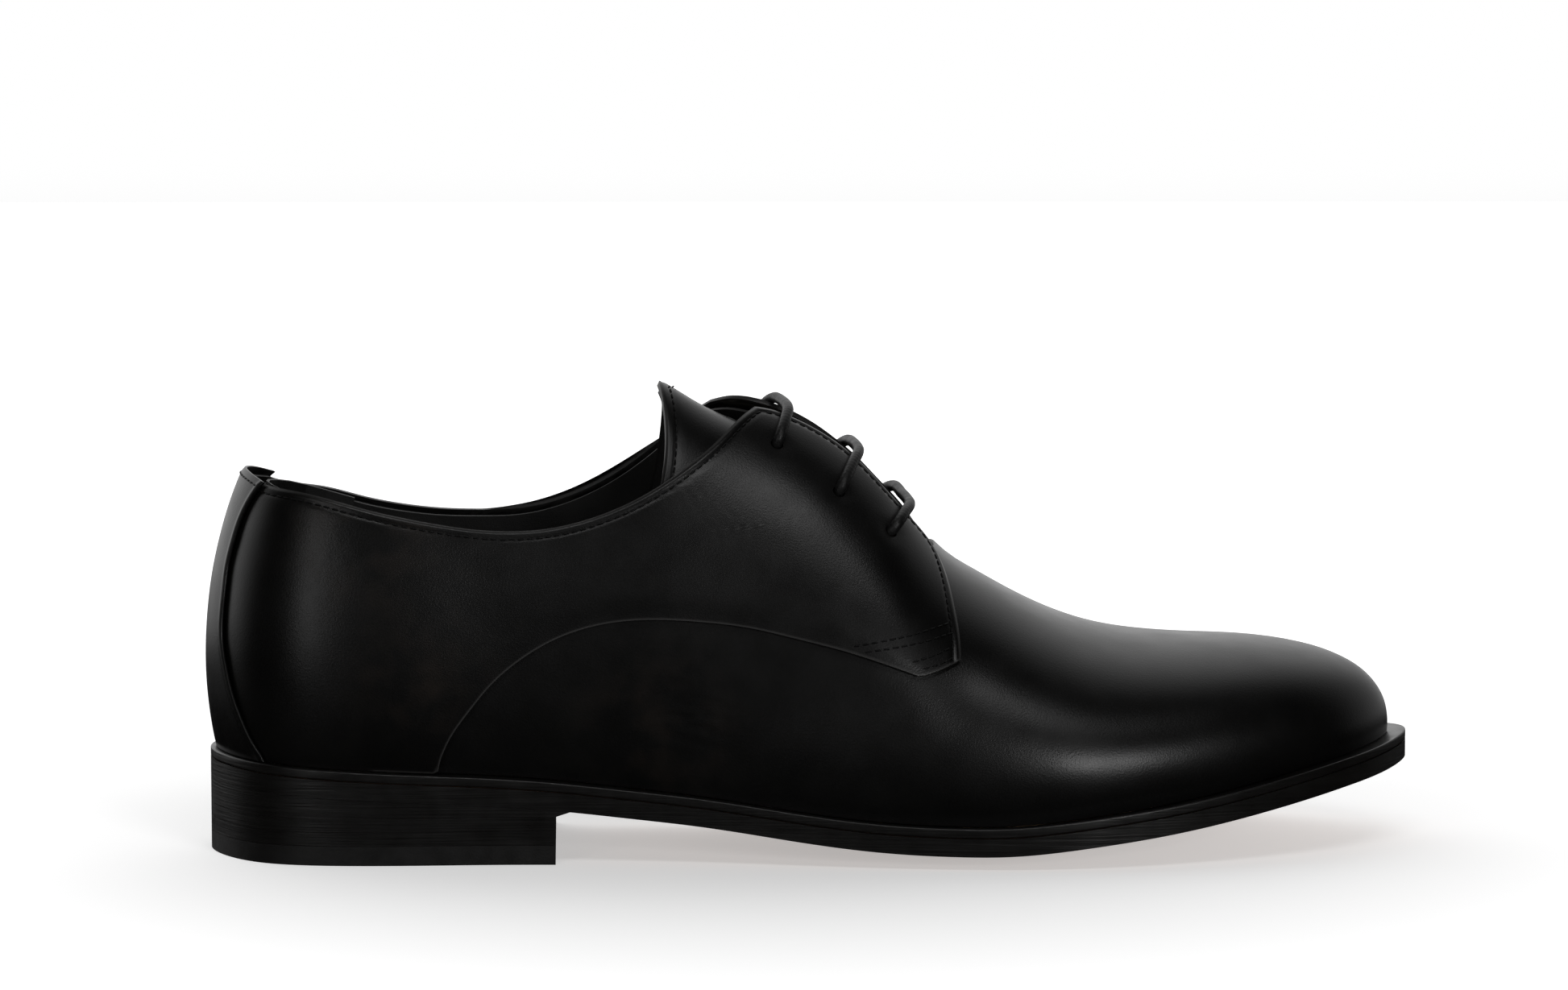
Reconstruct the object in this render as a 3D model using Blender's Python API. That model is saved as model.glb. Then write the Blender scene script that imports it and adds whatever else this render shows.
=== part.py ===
"""Right-foot leather derby shoe with three eyelet pairs, a welted leather sole and a stacked heel.

Frame: X from heel to toe, Y towards the inner (medial) side, Z up. The floor is z = 0 and the
origin lies under the middle of the shoe. Sizes in this script are in millimetres.
The upper is one smooth surface of ribs. Each rib is a cubic Bezier from the feather line, where
the upper meets the welt, to the ridge along the top. A point on it is (s, t): s goes round the
feather line (0 heel, 0.5 toe tip, the outer side first) and t goes up the rib (0 to 1).
Every panel is a patch of that surface, moved out or in by its place in the stack of layers.
"""
import bmesh
import bpy
import numpy as np
from mathutils import Vector
from mathutils.kdtree import KDTree

MM = 0.001
GAP = 0.3

LENGTH = 305.0
HALF = LENGTH / 2
OUTSOLE = 4.2
WELT = 2.4
INSOLE = 2.4
SOCK = 0.8
LEATHER = 1.2
LINING = 0.8
TOP_PIECE = 4.5
LIFT = 3.2
BREAST_X = -64.8
BREAST_LIP = 3.5
BREAST_SHARPNESS = 12
WELT_WIDTH = 8.5
FILLER_INSET = 9.0
SHANK_THICKNESS = 1.3
SHANK_HALF_WIDTH = 6.5
INSOLE_CLEARANCE = 5.2

# Distance of each layer's outer face from the vamp's outer face, outwards.
QUARTER_OUT = LEATHER + 0.95
STRIP = 1.0
STRIP_OUT = QUARTER_OUT + STRIP + 0.4
STIFFENER = 0.7
QUARTER_LINING_OUT = -LEATHER - 0.5
COUNTER_OUT = 0.2
PUFF_OUT = -LEATHER - 1.25
VAMP_LINING_OUT = PUFF_OUT - STIFFENER - 0.6
GRIP_OUT = QUARTER_LINING_OUT - LINING - 0.8
TONGUE_OUT = -7.2
TONGUE_BASE_OUT = -3.4

EYELET_PLACES = [[(-9.6, 102.1), (5.5, 90.6), (18.5, 80.9)],
                 [(-15.2, 104.6), (2.6, 93.0), (15.8, 83.3)]]
EYELET_HOLE = 1.9
EYELET_BARREL = 2.3
EYELET_FLANGE = 3.3
EYELET_FLANGE_OUT = QUARTER_LINING_OUT - LINING - 0.8
EYELET_SIDES = 10
LACE_RADIUS = 1.4
LACE_INSIDE = EYELET_FLANGE_OUT - 0.35 - GAP - LACE_RADIUS
LACE_OUTSIDE = QUARTER_OUT + GAP + LACE_RADIUS
BAR_CROSSINGS = [[-6.7, 10.5, 22.8], [-9.7, 9.0, 20.8]]
BAR_LIFT = 1.8
BAR_ROUND = 0.3
TAIL_OUTER = [(-23.2, 93.2), (-37.0, 83.3), (-50.9, 69.4), (-60.8, 53.5), (-62.8, 41.6),
              (-54.9, 35.2), (-41.0, 33.7)]
TAIL_INNER = [(-9.3, 83.3), (-25.1, 83.3), (-41.0, 75.3), (-54.9, 61.5), (-62.8, 47.6),
              (-58.8, 37.7), (-45.0, 32.7)]
TAIL_DEPTH = 2.5

TONGUE_BASE_X = 28.5
TONGUE_DIP = 5.4
TONGUE_RAMP = 10.0
TONGUE_LINING_INSET = 1.2

# Edge of the welt and outsole, heel to toe: distance from the back of the heel, and y.
OUTER_EDGE = [(1.2, 0), (6, -17), (16.5, -29), (35, -34.5), (70, -35), (100, -36.5), (130, -40.5),
              (160, -46), (190, -50.5), (215, -51.5), (240, -47.5), (263, -40), (281, -30.5),
              (293.5, -19), (301.5, -7), (LENGTH, 5)]
INNER_EDGE = [(302.5, 15.5), (296, 26), (285, 35.5), (271, 43), (254, 48.5), (235, 51.5),
              (215, 51), (190, 44), (160, 33), (130, 27.5), (100, 29), (70, 32.5), (35, 33.5),
              (16.5, 28.5), (6, 17)]

# Height of the underside's edge along X, and how far its middle is below that edge.
EDGE_HEIGHT = [(-HALF, 18.8), (-110.4, 15.9), (-64.8, 13.3), (-47.9, 11.6), (-28.1, 9.5),
               (-8.8, 6.8), (10.5, 4.5), (34.3, 3.4), (44.2, 3.5), (64.1, 5.4), (84.9, 8.1),
               (105.7, 11.7), (128.5, 16.2), (HALF, 20.4)]
CROWN = [(-HALF, 0.0), (-64.8, 0.0), (-31.1, 0.8), (8.6, 2.8), (39.3, 3.36), (78.0, 2.6),
         (117.6, 1.2), (HALF, 0.0)]

# The ridge along the top of the ribs: x, y, z. Behind x = -36 it is the top of the closed form
# that the foot opening is cut from.
RIDGE = [(-100.5, 0, 123.9), (-70.7, 0, 125.4), (-50.9, 0.5, 125.9), (-36.0, 1, 123.5),
         (-25.1, 1.5, 117.4), (-13.2, 2, 112.0), (0.6, 2.5, 105.6), (8.6, 2.8, 100.4),
         (18.5, 3.2, 91.5), (26.4, 3.5, 81.5), (33.3, 3.8, 73.9), (41.3, 4, 68.6),
         (50.2, 4.2, 63.6), (60.1, 4.4, 58.8), (71.0, 4.6, 55.0), (81.9, 4.6, 53.0),
         (97.8, 4.4, 51.7)]
RIDGE_BACK = -101.0
RIDGE_FRONT = 98.0

# Rib shape by the x of its foot: outward lean of the first handle, its share of the rib's
# height, and the second handle's share of the rib's reach.
RIB_SHAPE = [(-HALF, 9.0, 0.40, 0.85), (-120.3, 8.5, 0.40, 0.80), (-80.7, 7.0, 0.45, 0.68),
             (-41.0, 6.0, 0.50, 0.62), (-1.3, 6.5, 0.50, 0.60), (38.3, 9.0, 0.50, 0.60),
             (78.0, 8.0, 0.55, 0.64), (117.6, 4.5, 0.58, 0.74), (HALF, 0.8, 0.55, 0.80)]

# Edges of the panels in side view, outer side of the shoe first: x, z.
TOPLINES = [[(-139.3, 93.2), (-135.7, 92.4), (-126.3, 91.0), (-111.4, 87.3), (-96.5, 84.0),
             (-82.1, 81.9), (-66.8, 82.2), (-52.5, 85.9), (-42.6, 90.4), (-32.7, 96.7),
             (-22.8, 104.7), (-17.7, 109.2), (-14.7, 111.0)],
            [(-139.3, 93.0), (-136.0, 91.2), (-124.4, 88.6), (-114.1, 85.8), (-103.8, 83.7),
             (-93.4, 82.6), (-83.1, 82.4), (-72.8, 82.9), (-62.4, 85.5), (-52.0, 90.3),
             (-41.6, 97.5), (-33.5, 104.6), (-28.0, 109.4), (-25.0, 111.4)]]
FACINGS = [[(-14.7, 111.0), (-10.6, 110.2), (-5.2, 108.2), (1.3, 104.9), (7.1, 101.1),
            (12.4, 96.6), (17.7, 91.0), (24.0, 84.0), (28.0, 79.4), (31.0, 74.8), (33.0, 68.6),
            (33.9, 62.4), (34.5, 55.9), (34.4, 50.8)],
           [(-25.0, 111.4), (-20.4, 112.6), (-11.2, 111.5), (-5.2, 109.2), (1.3, 105.6),
            (7.1, 101.4), (12.4, 97.0), (17.7, 91.6), (24.3, 84.6), (28.2, 79.2), (31.0, 74.4),
            (33.0, 68.4), (33.9, 62.4), (34.5, 55.9), (34.4, 50.8)]]
TAB_FOOT = [(34.4, 50.8), (29.4, 48.6), (24.0, 46.9)]
WING = [(24.0, 46.9), (14.4, 50.2), (5.7, 52.9), (-6.8, 56.0), (-17.2, 58.3), (-29.3, 59.7),
        (-40.6, 60.2), (-51.8, 59.3), (-63.1, 56.1), (-74.3, 49.6), (-81.1, 43.5), (-85.7, 37.8),
        (-90.4, 31.1), (-93.5, 24.0)]
STRIP_SEAM = [(-136.6, 25.7), (-138.8, 28.5), (-141.8, 34.1), (-144.5, 40.7), (-146.3, 48.0),
              (-147.2, 54.0), (-147.1, 60.2), (-146.5, 66.2), (-145.7, 72.4), (-144.3, 77.9),
              (-142.5, 83.5), (-139.7, 89.0), (-136.6, 93.2)]
STRIP_BOW = 0.02
SEAM_S = (0.0015, 0.9985)
TONGUE_EDGE = [(28.4, 67.4), (16.5, 76.8), (0.6, 85.7), (-17.2, 88.7), (-40.8, 87.2)]
THROAT = [(29.9, 75.3), (27.4, 69.4), (22.4, 64.9), (12.5, 63.4), (-1.3, 65.4), (-17.2, 67.9),
          (-33.1, 68.9), (-50.9, 66.9), (-66.8, 61.5), (-80.7, 51.5), (-92.5, 37.7),
          (-100.5, 24.2)]


def spline(knots):
    """Natural cubic spline through rows (x, values...), as a function of x."""
    rows = np.array(knots, float)
    x, y = rows[:, 0], rows[:, 1:]
    step = np.diff(x)
    slope = np.diff(y, axis=0) / step[:, None]
    matrix = np.eye(len(x))
    right = np.zeros_like(y)
    for i in range(1, len(x) - 1):
        matrix[i, i - 1:i + 2] = step[i - 1], 2 * (step[i - 1] + step[i]), step[i]
        right[i] = 6 * (slope[i] - slope[i - 1])
    bend = np.linalg.solve(matrix, right)

    def value(at):
        at = np.asarray(at, float)
        i = np.clip(np.searchsorted(x, at) - 1, 0, len(x) - 2)
        width = step[i][..., None]
        left, ahead = (x[i + 1] - at)[..., None], (at - x[i])[..., None]
        return ((bend[i] * left ** 3 + bend[i + 1] * ahead ** 3) / (6 * width)
                + (y[i] / width - bend[i] * width / 6) * left
                + (y[i + 1] / width - bend[i + 1] * width / 6) * ahead)
    return value


def curve(points, count):
    """Evenly spaced samples of a smooth curve through the points."""
    points = np.array(points, float)
    length = np.concatenate([[0], np.cumsum(np.linalg.norm(np.diff(points, axis=0), axis=1))])
    return spline(np.column_stack([length, points]))(np.linspace(0, length[-1], count))


def closed_edge():
    """The sole's edge as a function of s, with s = 0.5 at the toe tip."""
    ring = np.array(OUTER_EDGE + INNER_EDGE, float) - (HALF, 0)
    tip = len(OUTER_EDGE) - 1
    steps = np.linalg.norm(np.diff(np.vstack([ring, ring[:1]]), axis=0), axis=1)
    s = np.concatenate([[0], np.cumsum(steps)])
    first, last = s[tip], s[-1]
    s = np.where(s <= first, 0.5 * s / first, 0.5 + 0.5 * (s - first) / (last - first))
    wrap = 5
    knots = np.vstack([np.column_stack([s[:-1] + turn, ring]) for turn in (-1, 0, 1)])
    knots = knots[len(ring) - wrap:2 * len(ring) + wrap]
    return spline(knots)


sole_edge = closed_edge()
edge_height = spline(EDGE_HEIGHT)
crown = spline(CROWN)
ridge = spline(RIDGE)
rib_shape = spline(RIB_SHAPE)
edge_inset = spline([(-HALF, 4.7), (-130, 4.2), (-100, 4.0), (-60, 4.0), (-20, 4.4),
                     (20, 4.8), (60, 5.0), (HALF, 4.6)])
middle_y = spline([(-HALF, 0), (-60, -1.5), (-20, -5), (20, -4), (60, 0), (100, 3), (HALF, 3)])
half_width = spline([(-HALF, 30), (-80, 34), (-20, 35), (20, 42), (60, 51), (100, 45),
                     (130, 32), (HALF, 26)])


def inset_edge(s, inset):
    """The sole's edge moved in by inset."""
    s = np.asarray(s, float) % 1.0
    ahead, behind = sole_edge((s + 0.001)), sole_edge((s - 0.001))
    along = ahead - behind
    along /= np.linalg.norm(along, axis=-1, keepdims=True)
    inwards = np.stack([-along[..., 1], along[..., 0]], -1)
    return sole_edge(s) + inwards * np.asarray(inset, float)[..., None]


def underside(x, y):
    """Height of the outsole's lower face."""
    x = np.asarray(x, float)
    across = np.clip((y - middle_y(x)[..., 0]) / half_width(x)[..., 0], -1, 1)
    return edge_height(x)[..., 0] - crown(x)[..., 0] * (1 - across ** 2)


def feather(s):
    """Foot of the rib at s."""
    x = sole_edge(np.asarray(s, float) % 1.0)[..., 0]
    place = inset_edge(s, edge_inset(x)[..., 0])
    height = underside(place[..., 0], place[..., 1]) + OUTSOLE + WELT + 2 * GAP
    return np.concatenate([place, height[..., None]], -1)


def ridge_top(foot):
    """Top of the rib that starts at foot. Ribs fan out round the toe and round the heel."""
    x, soft = foot[..., 0], 9.0
    x = x - soft * np.logaddexp(0, (x - RIDGE_FRONT) / soft)
    x = x + soft * np.logaddexp(0, (RIDGE_BACK - x) / soft)
    return np.concatenate([x[..., None], ridge(x)], -1)


def on_last(place):
    """Point of the vamp's outer face at (s, t)."""
    s, t = place[..., 0], place[..., 1][..., None]
    foot = feather(s)
    top = ridge_top(foot)
    lean, rise, reach = np.moveaxis(rib_shape(foot[..., 0]), -1, 0)
    away = foot[..., :2] - top[..., :2]
    span = np.linalg.norm(away, axis=-1, keepdims=True)
    low, high = foot.copy(), top.copy()
    low[..., :2] += away / span * lean[..., None]
    low[..., 2] += rise * (top[..., 2] - foot[..., 2])
    high[..., :2] += away * reach[..., None]
    return (foot * (1 - t) ** 3 + 3 * low * t * (1 - t) ** 2
            + 3 * high * t ** 2 * (1 - t) + top * t ** 3)


def outward(place):
    """Unit normal of the surface at (s, t)."""
    step = 0.002
    place = np.array(place, float)
    place[..., 1] = np.clip(place[..., 1], step, 0.985)
    round_step, up_step = np.array([step, 0]), np.array([0, step])
    along = on_last(place + round_step) - on_last(place - round_step)
    up = on_last(place + up_step) - on_last(place - up_step)
    normal = np.cross(along, up)
    # Level at the foot, so that every layer stands on the welt.
    normal[..., 2] *= np.clip((place[..., 1] - step) / 0.05, 0, 1)
    return normal / np.linalg.norm(normal, axis=-1, keepdims=True)


def at_layer(place, offset):
    """Point at (s, t), offset outwards from the vamp's outer face."""
    place = np.asarray(place, float)
    return on_last(place) + outward(place) * np.asarray(offset, float)[..., None]


def flat(place):
    """Plan of the surface with each rib laid out straight: a map without a seam at the ridge."""
    foot = feather(place[..., 0])[..., :2]
    top = ridge_top(feather(place[..., 0]))[..., :2]
    return top + (foot - top) * (1 - place[..., 1][..., None])


def side_view(layer):
    """View from the side of the surface at a layer."""
    return lambda place: at_layer(place, layer)[..., [0, 2]]


def find(view, targets, low, high):
    """(s, t) between s = low and high whose view is at each target, by Newton's method."""
    targets = np.asarray(targets, float)
    shape = targets.shape
    targets = targets.reshape(-1, 2)
    grid = np.stack(np.meshgrid(np.linspace(low, high, 300), np.linspace(0, 1, 60),
                                indexing="ij"), -1).reshape(-1, 2)
    seen = view(grid)
    tree = KDTree(len(seen))
    for i, point in enumerate(seen):
        tree.insert((point[0], point[1], 0), i)
    tree.balance()
    place = grid[[tree.find((x, y, 0))[1] for x, y in targets]]
    step = 1e-4
    for _ in range(12):
        miss = targets - view(place)
        d_s = (view(place + (step, 0)) - view(place - (step, 0))) / (2 * step)
        d_t = (view(place + (0, step)) - view(place - (0, step))) / (2 * step)
        det = d_s[:, 0] * d_t[:, 1] - d_s[:, 1] * d_t[:, 0]
        det = np.where(np.abs(det) < 20, np.where(det < 0, -20, 20), det)
        move = np.stack([(miss[:, 0] * d_t[:, 1] - miss[:, 1] * d_t[:, 0]) / det,
                         (d_s[:, 0] * miss[:, 1] - d_s[:, 1] * miss[:, 0]) / det], -1)
        place = place + np.clip(move, (-0.01, -0.05), (0.01, 0.05))
        place = np.clip(place, (low, 0), (high, 1))
    return place.reshape(shape)


def on_side(side, points, count, layer=0.0):
    """Samples of a smooth side-view curve on the outer (0) or inner (1) side of a layer."""
    low, high = (0.0, 0.5) if side == 0 else (0.5, 1.0)
    return find(side_view(layer), curve(points, count), low, high)


def even(samples, count):
    """The same line with evenly spaced samples."""
    points = on_last(samples)
    gaps = np.linalg.norm(np.diff(points, axis=0), axis=1)
    length = np.concatenate([[0], np.cumsum(gaps)])
    at = np.linspace(0, length[-1], count)
    return np.column_stack([np.interp(at, length, samples[:, k]) for k in (0, 1)])


def coons(bottom, top, left, right, crowd=1.0):
    """Grid that fills four boundary lines: bottom and top along u, left and right along v.

    The bend of left and right dies away from them. A crowd above 1 packs the rows towards the
    bottom; left and right must then be straight."""
    u = np.linspace(0, 1, len(bottom))[:, None, None]
    v = (np.linspace(0, 1, len(left)) ** crowd)[None, :, None]
    grid = (1 - v) * bottom[:, None] + v * top[:, None]
    if crowd == 1.0:
        for line, weight in ((left, (1 - u) ** 3), (right, u ** 3)):
            grid = grid + weight * (line[None] - line[0] - (line[-1] - line[0]) * v)
    return grid


def material(name, colour, roughness, metallic=0.0):
    made = bpy.data.materials.get(name) or bpy.data.materials.new(name)
    made.use_nodes = True
    shader = made.node_tree.nodes["Principled BSDF"]
    shader.inputs["Base Color"].default_value = (*colour, 1)
    shader.inputs["Roughness"].default_value = roughness
    shader.inputs["Metallic"].default_value = metallic
    return made


FINISHES = {
    "upper_leather": ((0.012, 0.012, 0.013), 0.38, 0.0),
    "lining_leather": ((0.02, 0.02, 0.02), 0.6, 0.0),
    "sole_leather": ((0.016, 0.015, 0.015), 0.42, 0.0),
    "bare_leather": ((0.45, 0.27, 0.15), 0.7, 0.0),
    "heel_rubber": ((0.015, 0.015, 0.015), 0.7, 0.0),
    "cork": ((0.48, 0.33, 0.2), 0.9, 0.0),
    "stiffener": ((0.75, 0.68, 0.55), 0.8, 0.0),
    "steel": ((0.55, 0.56, 0.58), 0.35, 1.0),
    "black_eyelet": ((0.03, 0.03, 0.03), 0.4, 1.0),
    "waxed_cotton": ((0.014, 0.014, 0.014), 0.6, 0.0),
    "aglet_plastic": ((0.02, 0.02, 0.02), 0.3, 0.0),
}


def finish(mesh, name, slot):
    """Object of a mesh given in millimetres, with its faces pointing out."""
    solid = bmesh.new()
    solid.from_mesh(mesh)
    bmesh.ops.remove_doubles(solid, verts=solid.verts, dist=0.01)
    bmesh.ops.dissolve_degenerate(solid, edges=solid.edges, dist=0.001)
    bmesh.ops.recalc_face_normals(solid, faces=solid.faces)
    bmesh.ops.scale(solid, verts=solid.verts, vec=(MM, MM, MM))
    solid.to_mesh(mesh)
    solid.free()
    mesh.shade_smooth()
    mesh.set_sharp_from_angle(angle=np.radians(40))
    mesh.materials.append(material(slot, *FINISHES[slot]))
    piece = bpy.data.objects.new(name, mesh)
    bpy.context.collection.objects.link(piece)
    return piece


def block(name, slot, top, bottom):
    """Closed solid between two grids of points with the same outline."""
    rows, columns = top.shape[:2]
    number = np.arange(rows * columns).reshape(rows, columns)
    quads = np.stack([number[:-1, :-1], number[1:, :-1], number[1:, 1:], number[:-1, 1:]], -1)
    quads = quads.reshape(-1, 4)
    rim = np.concatenate([number[:, 0], number[-1, 1:], number[-2::-1, -1], number[0, -2::-1]])
    low = rows * columns
    wall = [(a, a + low, b + low, b) for a, b in zip(rim[:-1], rim[1:])]
    faces = quads.tolist() + (quads[:, ::-1] + low).tolist() + wall
    mesh = bpy.data.meshes.new(name)
    points = np.concatenate([top.reshape(-1, 3), bottom.reshape(-1, 3)])
    mesh.from_pydata(points.tolist(), [], faces)
    return finish(mesh, name, slot)


def panel(name, slot, grid, outer, thickness):
    """Leather panel: a patch of (s, t) places, its outer face at the layer outer."""
    outer = np.broadcast_to(outer, grid.shape[:2])
    return block(name, slot, at_layer(grid, outer), at_layer(grid, outer - thickness))


def deck(name, slot, s_values, inset, bottom, top, across=5, lip=0.0):
    """Plate between the two sides of the sole's plan outline, moved in; lip leans its top."""
    v = np.linspace(0, 1, across)[None, :, None]
    outer = inset_edge(s_values, np.broadcast_to(inset, s_values.shape))[:, None]
    inner = inset_edge(1 - s_values, np.broadcast_to(inset, s_values.shape))[:, None]
    plan = outer * (1 - v) + inner * v
    lower, upper = plan.copy(), plan.copy()
    upper[..., 0] += np.broadcast_to(lip, s_values.shape)[:, None]
    faces = [np.dstack([level[..., 0], level[..., 1],
                        height(level[..., 0], level[..., 1]) + 0 * level[..., 0]])
             for level, height in ((upper, top), (lower, bottom))]
    return block(name, slot, *faces)


def s_at(x):
    """s on the outer side where the sole's edge is at x."""
    samples = np.linspace(0, 0.5, 800)
    return float(np.interp(x, sole_edge(samples)[:, 0], samples))


def stations(first, last, count):
    """s values packed towards the rounded heel and toe ends."""
    turn = np.linspace(0, 1, count)
    ease = 0.5 - 0.5 * np.cos(np.pi * turn)
    return first + (last - first) * (0.5 * ease + 0.5 * turn)


def build_heel():
    """Rubber top piece, two lifts and the wedge, and the nails that hold the stack."""
    rows = stations(0.0, s_at(BREAST_X), 12)
    level = 0.0
    for name, slot, thick in (("top_piece", "heel_rubber", TOP_PIECE),
                              ("heel_lift_lower", "sole_leather", LIFT),
                              ("heel_lift_upper", "sole_leather", LIFT)):
        base, height = level, level + thick
        piece = deck(name, slot, rows, 0.0, lambda x, y: base, lambda x, y: height)
        level = height + GAP
        if name != "top_piece":
            bore_nail_holes(piece)
    wedge = deck("heel_seat_wedge", "sole_leather", rows, 0.0, lambda x, y: level,
                 lambda x, y: underside(x, y) - GAP,
                 lip=BREAST_LIP * (rows / rows[-1]) ** BREAST_SHARPNESS)
    bore_nail_holes(wedge)


NAILS = [(-138, 0), (-118, -22), (-118, 21), (-84, -23), (-84, 20)]
NAIL_RADIUS = 0.9
NAIL_FOOT = TOP_PIECE + GAP
NAIL_TOP = 12.8


def rod(name, slot, centre, low, high, radius, sides=8):
    """Upright round bar."""
    mesh = bpy.data.meshes.new(name)
    bar = bmesh.new()
    bmesh.ops.create_cone(bar, cap_ends=True, segments=sides, radius1=radius, radius2=radius,
                          depth=high - low)
    bmesh.ops.translate(bar, verts=bar.verts, vec=(*centre, (low + high) / 2))
    bar.to_mesh(mesh)
    bar.free()
    return finish(mesh, name, slot)


def hide(cutter):
    cutter.hide_render = True
    cutter.display_type = "WIRE"
    return cutter


def cut(piece, cutter):
    modifier = piece.modifiers.new("hole_" + cutter.name, "BOOLEAN")
    modifier.operation = "DIFFERENCE"
    modifier.object = cutter


def bore_nail_holes(piece):
    for cutter in nail_cutters:
        cut(piece, cutter)


def build_nails():
    for number, centre in enumerate(NAILS, 1):
        rod(f"heel_nail_{number}", "steel", centre, NAIL_FOOT, NAIL_TOP, NAIL_RADIUS)


def build_bottom():
    """Outsole, welt ring, cork filler, shank, insole and sock."""
    whole = stations(0.0, 0.5, 30)
    deck("outsole", "sole_leather", whole, 0.0, underside, lambda x, y: underside(x, y) + OUTSOLE)
    welt_foot = OUTSOLE + GAP
    ring = np.concatenate([whole, 1 - whole[-2:0:-1]])
    outer, inner = inset_edge(ring, 0.0 * ring), inset_edge(ring, WELT_WIDTH + 0 * ring)
    rim = []
    for edge, height in ((outer, welt_foot), (outer, welt_foot + WELT), (inner, welt_foot + WELT),
                         (inner, welt_foot)):
        level = underside(edge[:, 0], edge[:, 1]) + height
        rim.append(np.column_stack([edge, level]))
    loop = np.array(rim)
    count = len(ring)
    number = np.arange(4 * count).reshape(4, count)
    faces = [(number[k, i], number[k, (i + 1) % count], number[(k + 1) % 4, (i + 1) % count],
              number[(k + 1) % 4, i]) for k in range(4) for i in range(count)]
    mesh = bpy.data.meshes.new("welt")
    mesh.from_pydata(loop.reshape(-1, 3).tolist(), [], faces)
    finish(mesh, "welt", "sole_leather")

    forepart = stations(s_at(-8), 0.487, 16)
    deck("bottom_filler", "cork", forepart, FILLER_INSET,
         lambda x, y: underside(x, y) + welt_foot + 0.2,
         lambda x, y: underside(x, y) + welt_foot + WELT - 0.1, across=5)
    shank_x = np.linspace(-108, -14, 10)[:, None]
    shank_y = np.linspace(-SHANK_HALF_WIDTH, SHANK_HALF_WIDTH, 3)[None, :] - 2.0 + 0 * shank_x
    shank_x = shank_x + 0 * shank_y
    shank_z = underside(shank_x, shank_y) + welt_foot + 0.4
    shank = np.dstack([shank_x, shank_y, shank_z])
    block("shank", "steel", shank + (0, 0, SHANK_THICKNESS), shank)

    seat = stations(0.0, 0.5, 22)
    low = welt_foot + WELT + GAP
    inset = edge_inset(sole_edge(seat)[:, 0])[:, 0] + INSOLE_CLEARANCE
    deck("insole", "bare_leather", seat, inset, lambda x, y: underside(x, y) + low,
         lambda x, y: underside(x, y) + low + INSOLE)
    sock_low = low + INSOLE + GAP
    deck("sock_liner", "lining_leather", seat, inset + 0.3,
         lambda x, y: underside(x, y) + sock_low, lambda x, y: underside(x, y) + sock_low + SOCK,
         across=5)


def s_of_foot(x, side):
    """s where the upper's feather line is at x, on the outer (0) or inner (1) side."""
    samples = np.linspace(0, 0.5, 800) if side == 0 else np.linspace(1, 0.5, 800)
    return float(np.interp(x, feather(samples)[:, 0], samples))


def start_at(corner, line):
    line = line.copy()
    line[0] = corner
    return line


def end_at(corner, line):
    line = line.copy()
    line[-1] = corner
    return line


def rib_height(s, z):
    """t at which the rib at s reaches the height z."""
    samples = np.linspace(0, 1, 200)
    heights = on_last(np.column_stack([np.full(200, s), samples]))[:, 2]
    return float(np.interp(z, heights, samples))


def build_quarter(side, columns, rows):
    """Grid of one quarter, from the back seam to the facing edge and the front tab."""
    seam_s = SEAM_S[side]
    back_top = (seam_s, rib_height(seam_s, TOPLINES[side][0][1]))
    topline = start_at(back_top, on_side(side, TOPLINES[side], 60, QUARTER_OUT))
    facing = on_side(side, FACINGS[side], 40, QUARTER_OUT)
    topline[-1] = facing[0]
    tab = on_side(side, TAB_FOOT, 8, QUARTER_OUT)
    wing = on_side(side, WING, 50, QUARTER_OUT)[::-1]
    wing_end = (wing[0][0], 0.0)
    sole_line = np.column_stack([np.linspace(seam_s, wing_end[0], 12), np.zeros(12)])
    bottom = np.vstack([sole_line[:-1], start_at(wing_end, wing)[:-1], tab[::-1]])
    right = facing[::-1]
    left = np.column_stack([np.full(20, seam_s), np.linspace(0, back_top[1], 20)])
    bottom, topline = even(bottom, columns), even(topline, columns)
    left, right = even(left, rows), even(right, rows)
    bottom[-1] = right[0]
    topline[-1] = right[-1]
    return coons(bottom, topline, left, right)


def eyelet_frame(side, place):
    """Centre on the vamp-face layer and outward direction of one eyelet."""
    spot = on_side(side, [place, (place[0] + 1, place[1])], 2, QUARTER_OUT)[0]
    return spot, on_last(spot), outward(spot)


def axis_rod(name, slot, centre, direction, low, high, radii, sides=EYELET_SIDES):
    """Round bar along direction from low to high; radii are those of its two ends."""
    mesh = bpy.data.meshes.new(name)
    bar = bmesh.new()
    bmesh.ops.create_cone(bar, cap_ends=True, segments=sides, radius1=radii[0],
                          radius2=radii[1], depth=high - low)
    turn = Vector((0, 0, 1)).rotation_difference(Vector(direction)).to_matrix()
    bmesh.ops.rotate(bar, verts=bar.verts, cent=(0, 0, 0), matrix=turn)
    middle = np.array(centre) + np.array(direction) * (low + high) / 2
    bmesh.ops.translate(bar, verts=bar.verts, vec=middle)
    bar.to_mesh(mesh)
    bar.free()
    return finish(mesh, name, slot)


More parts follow.
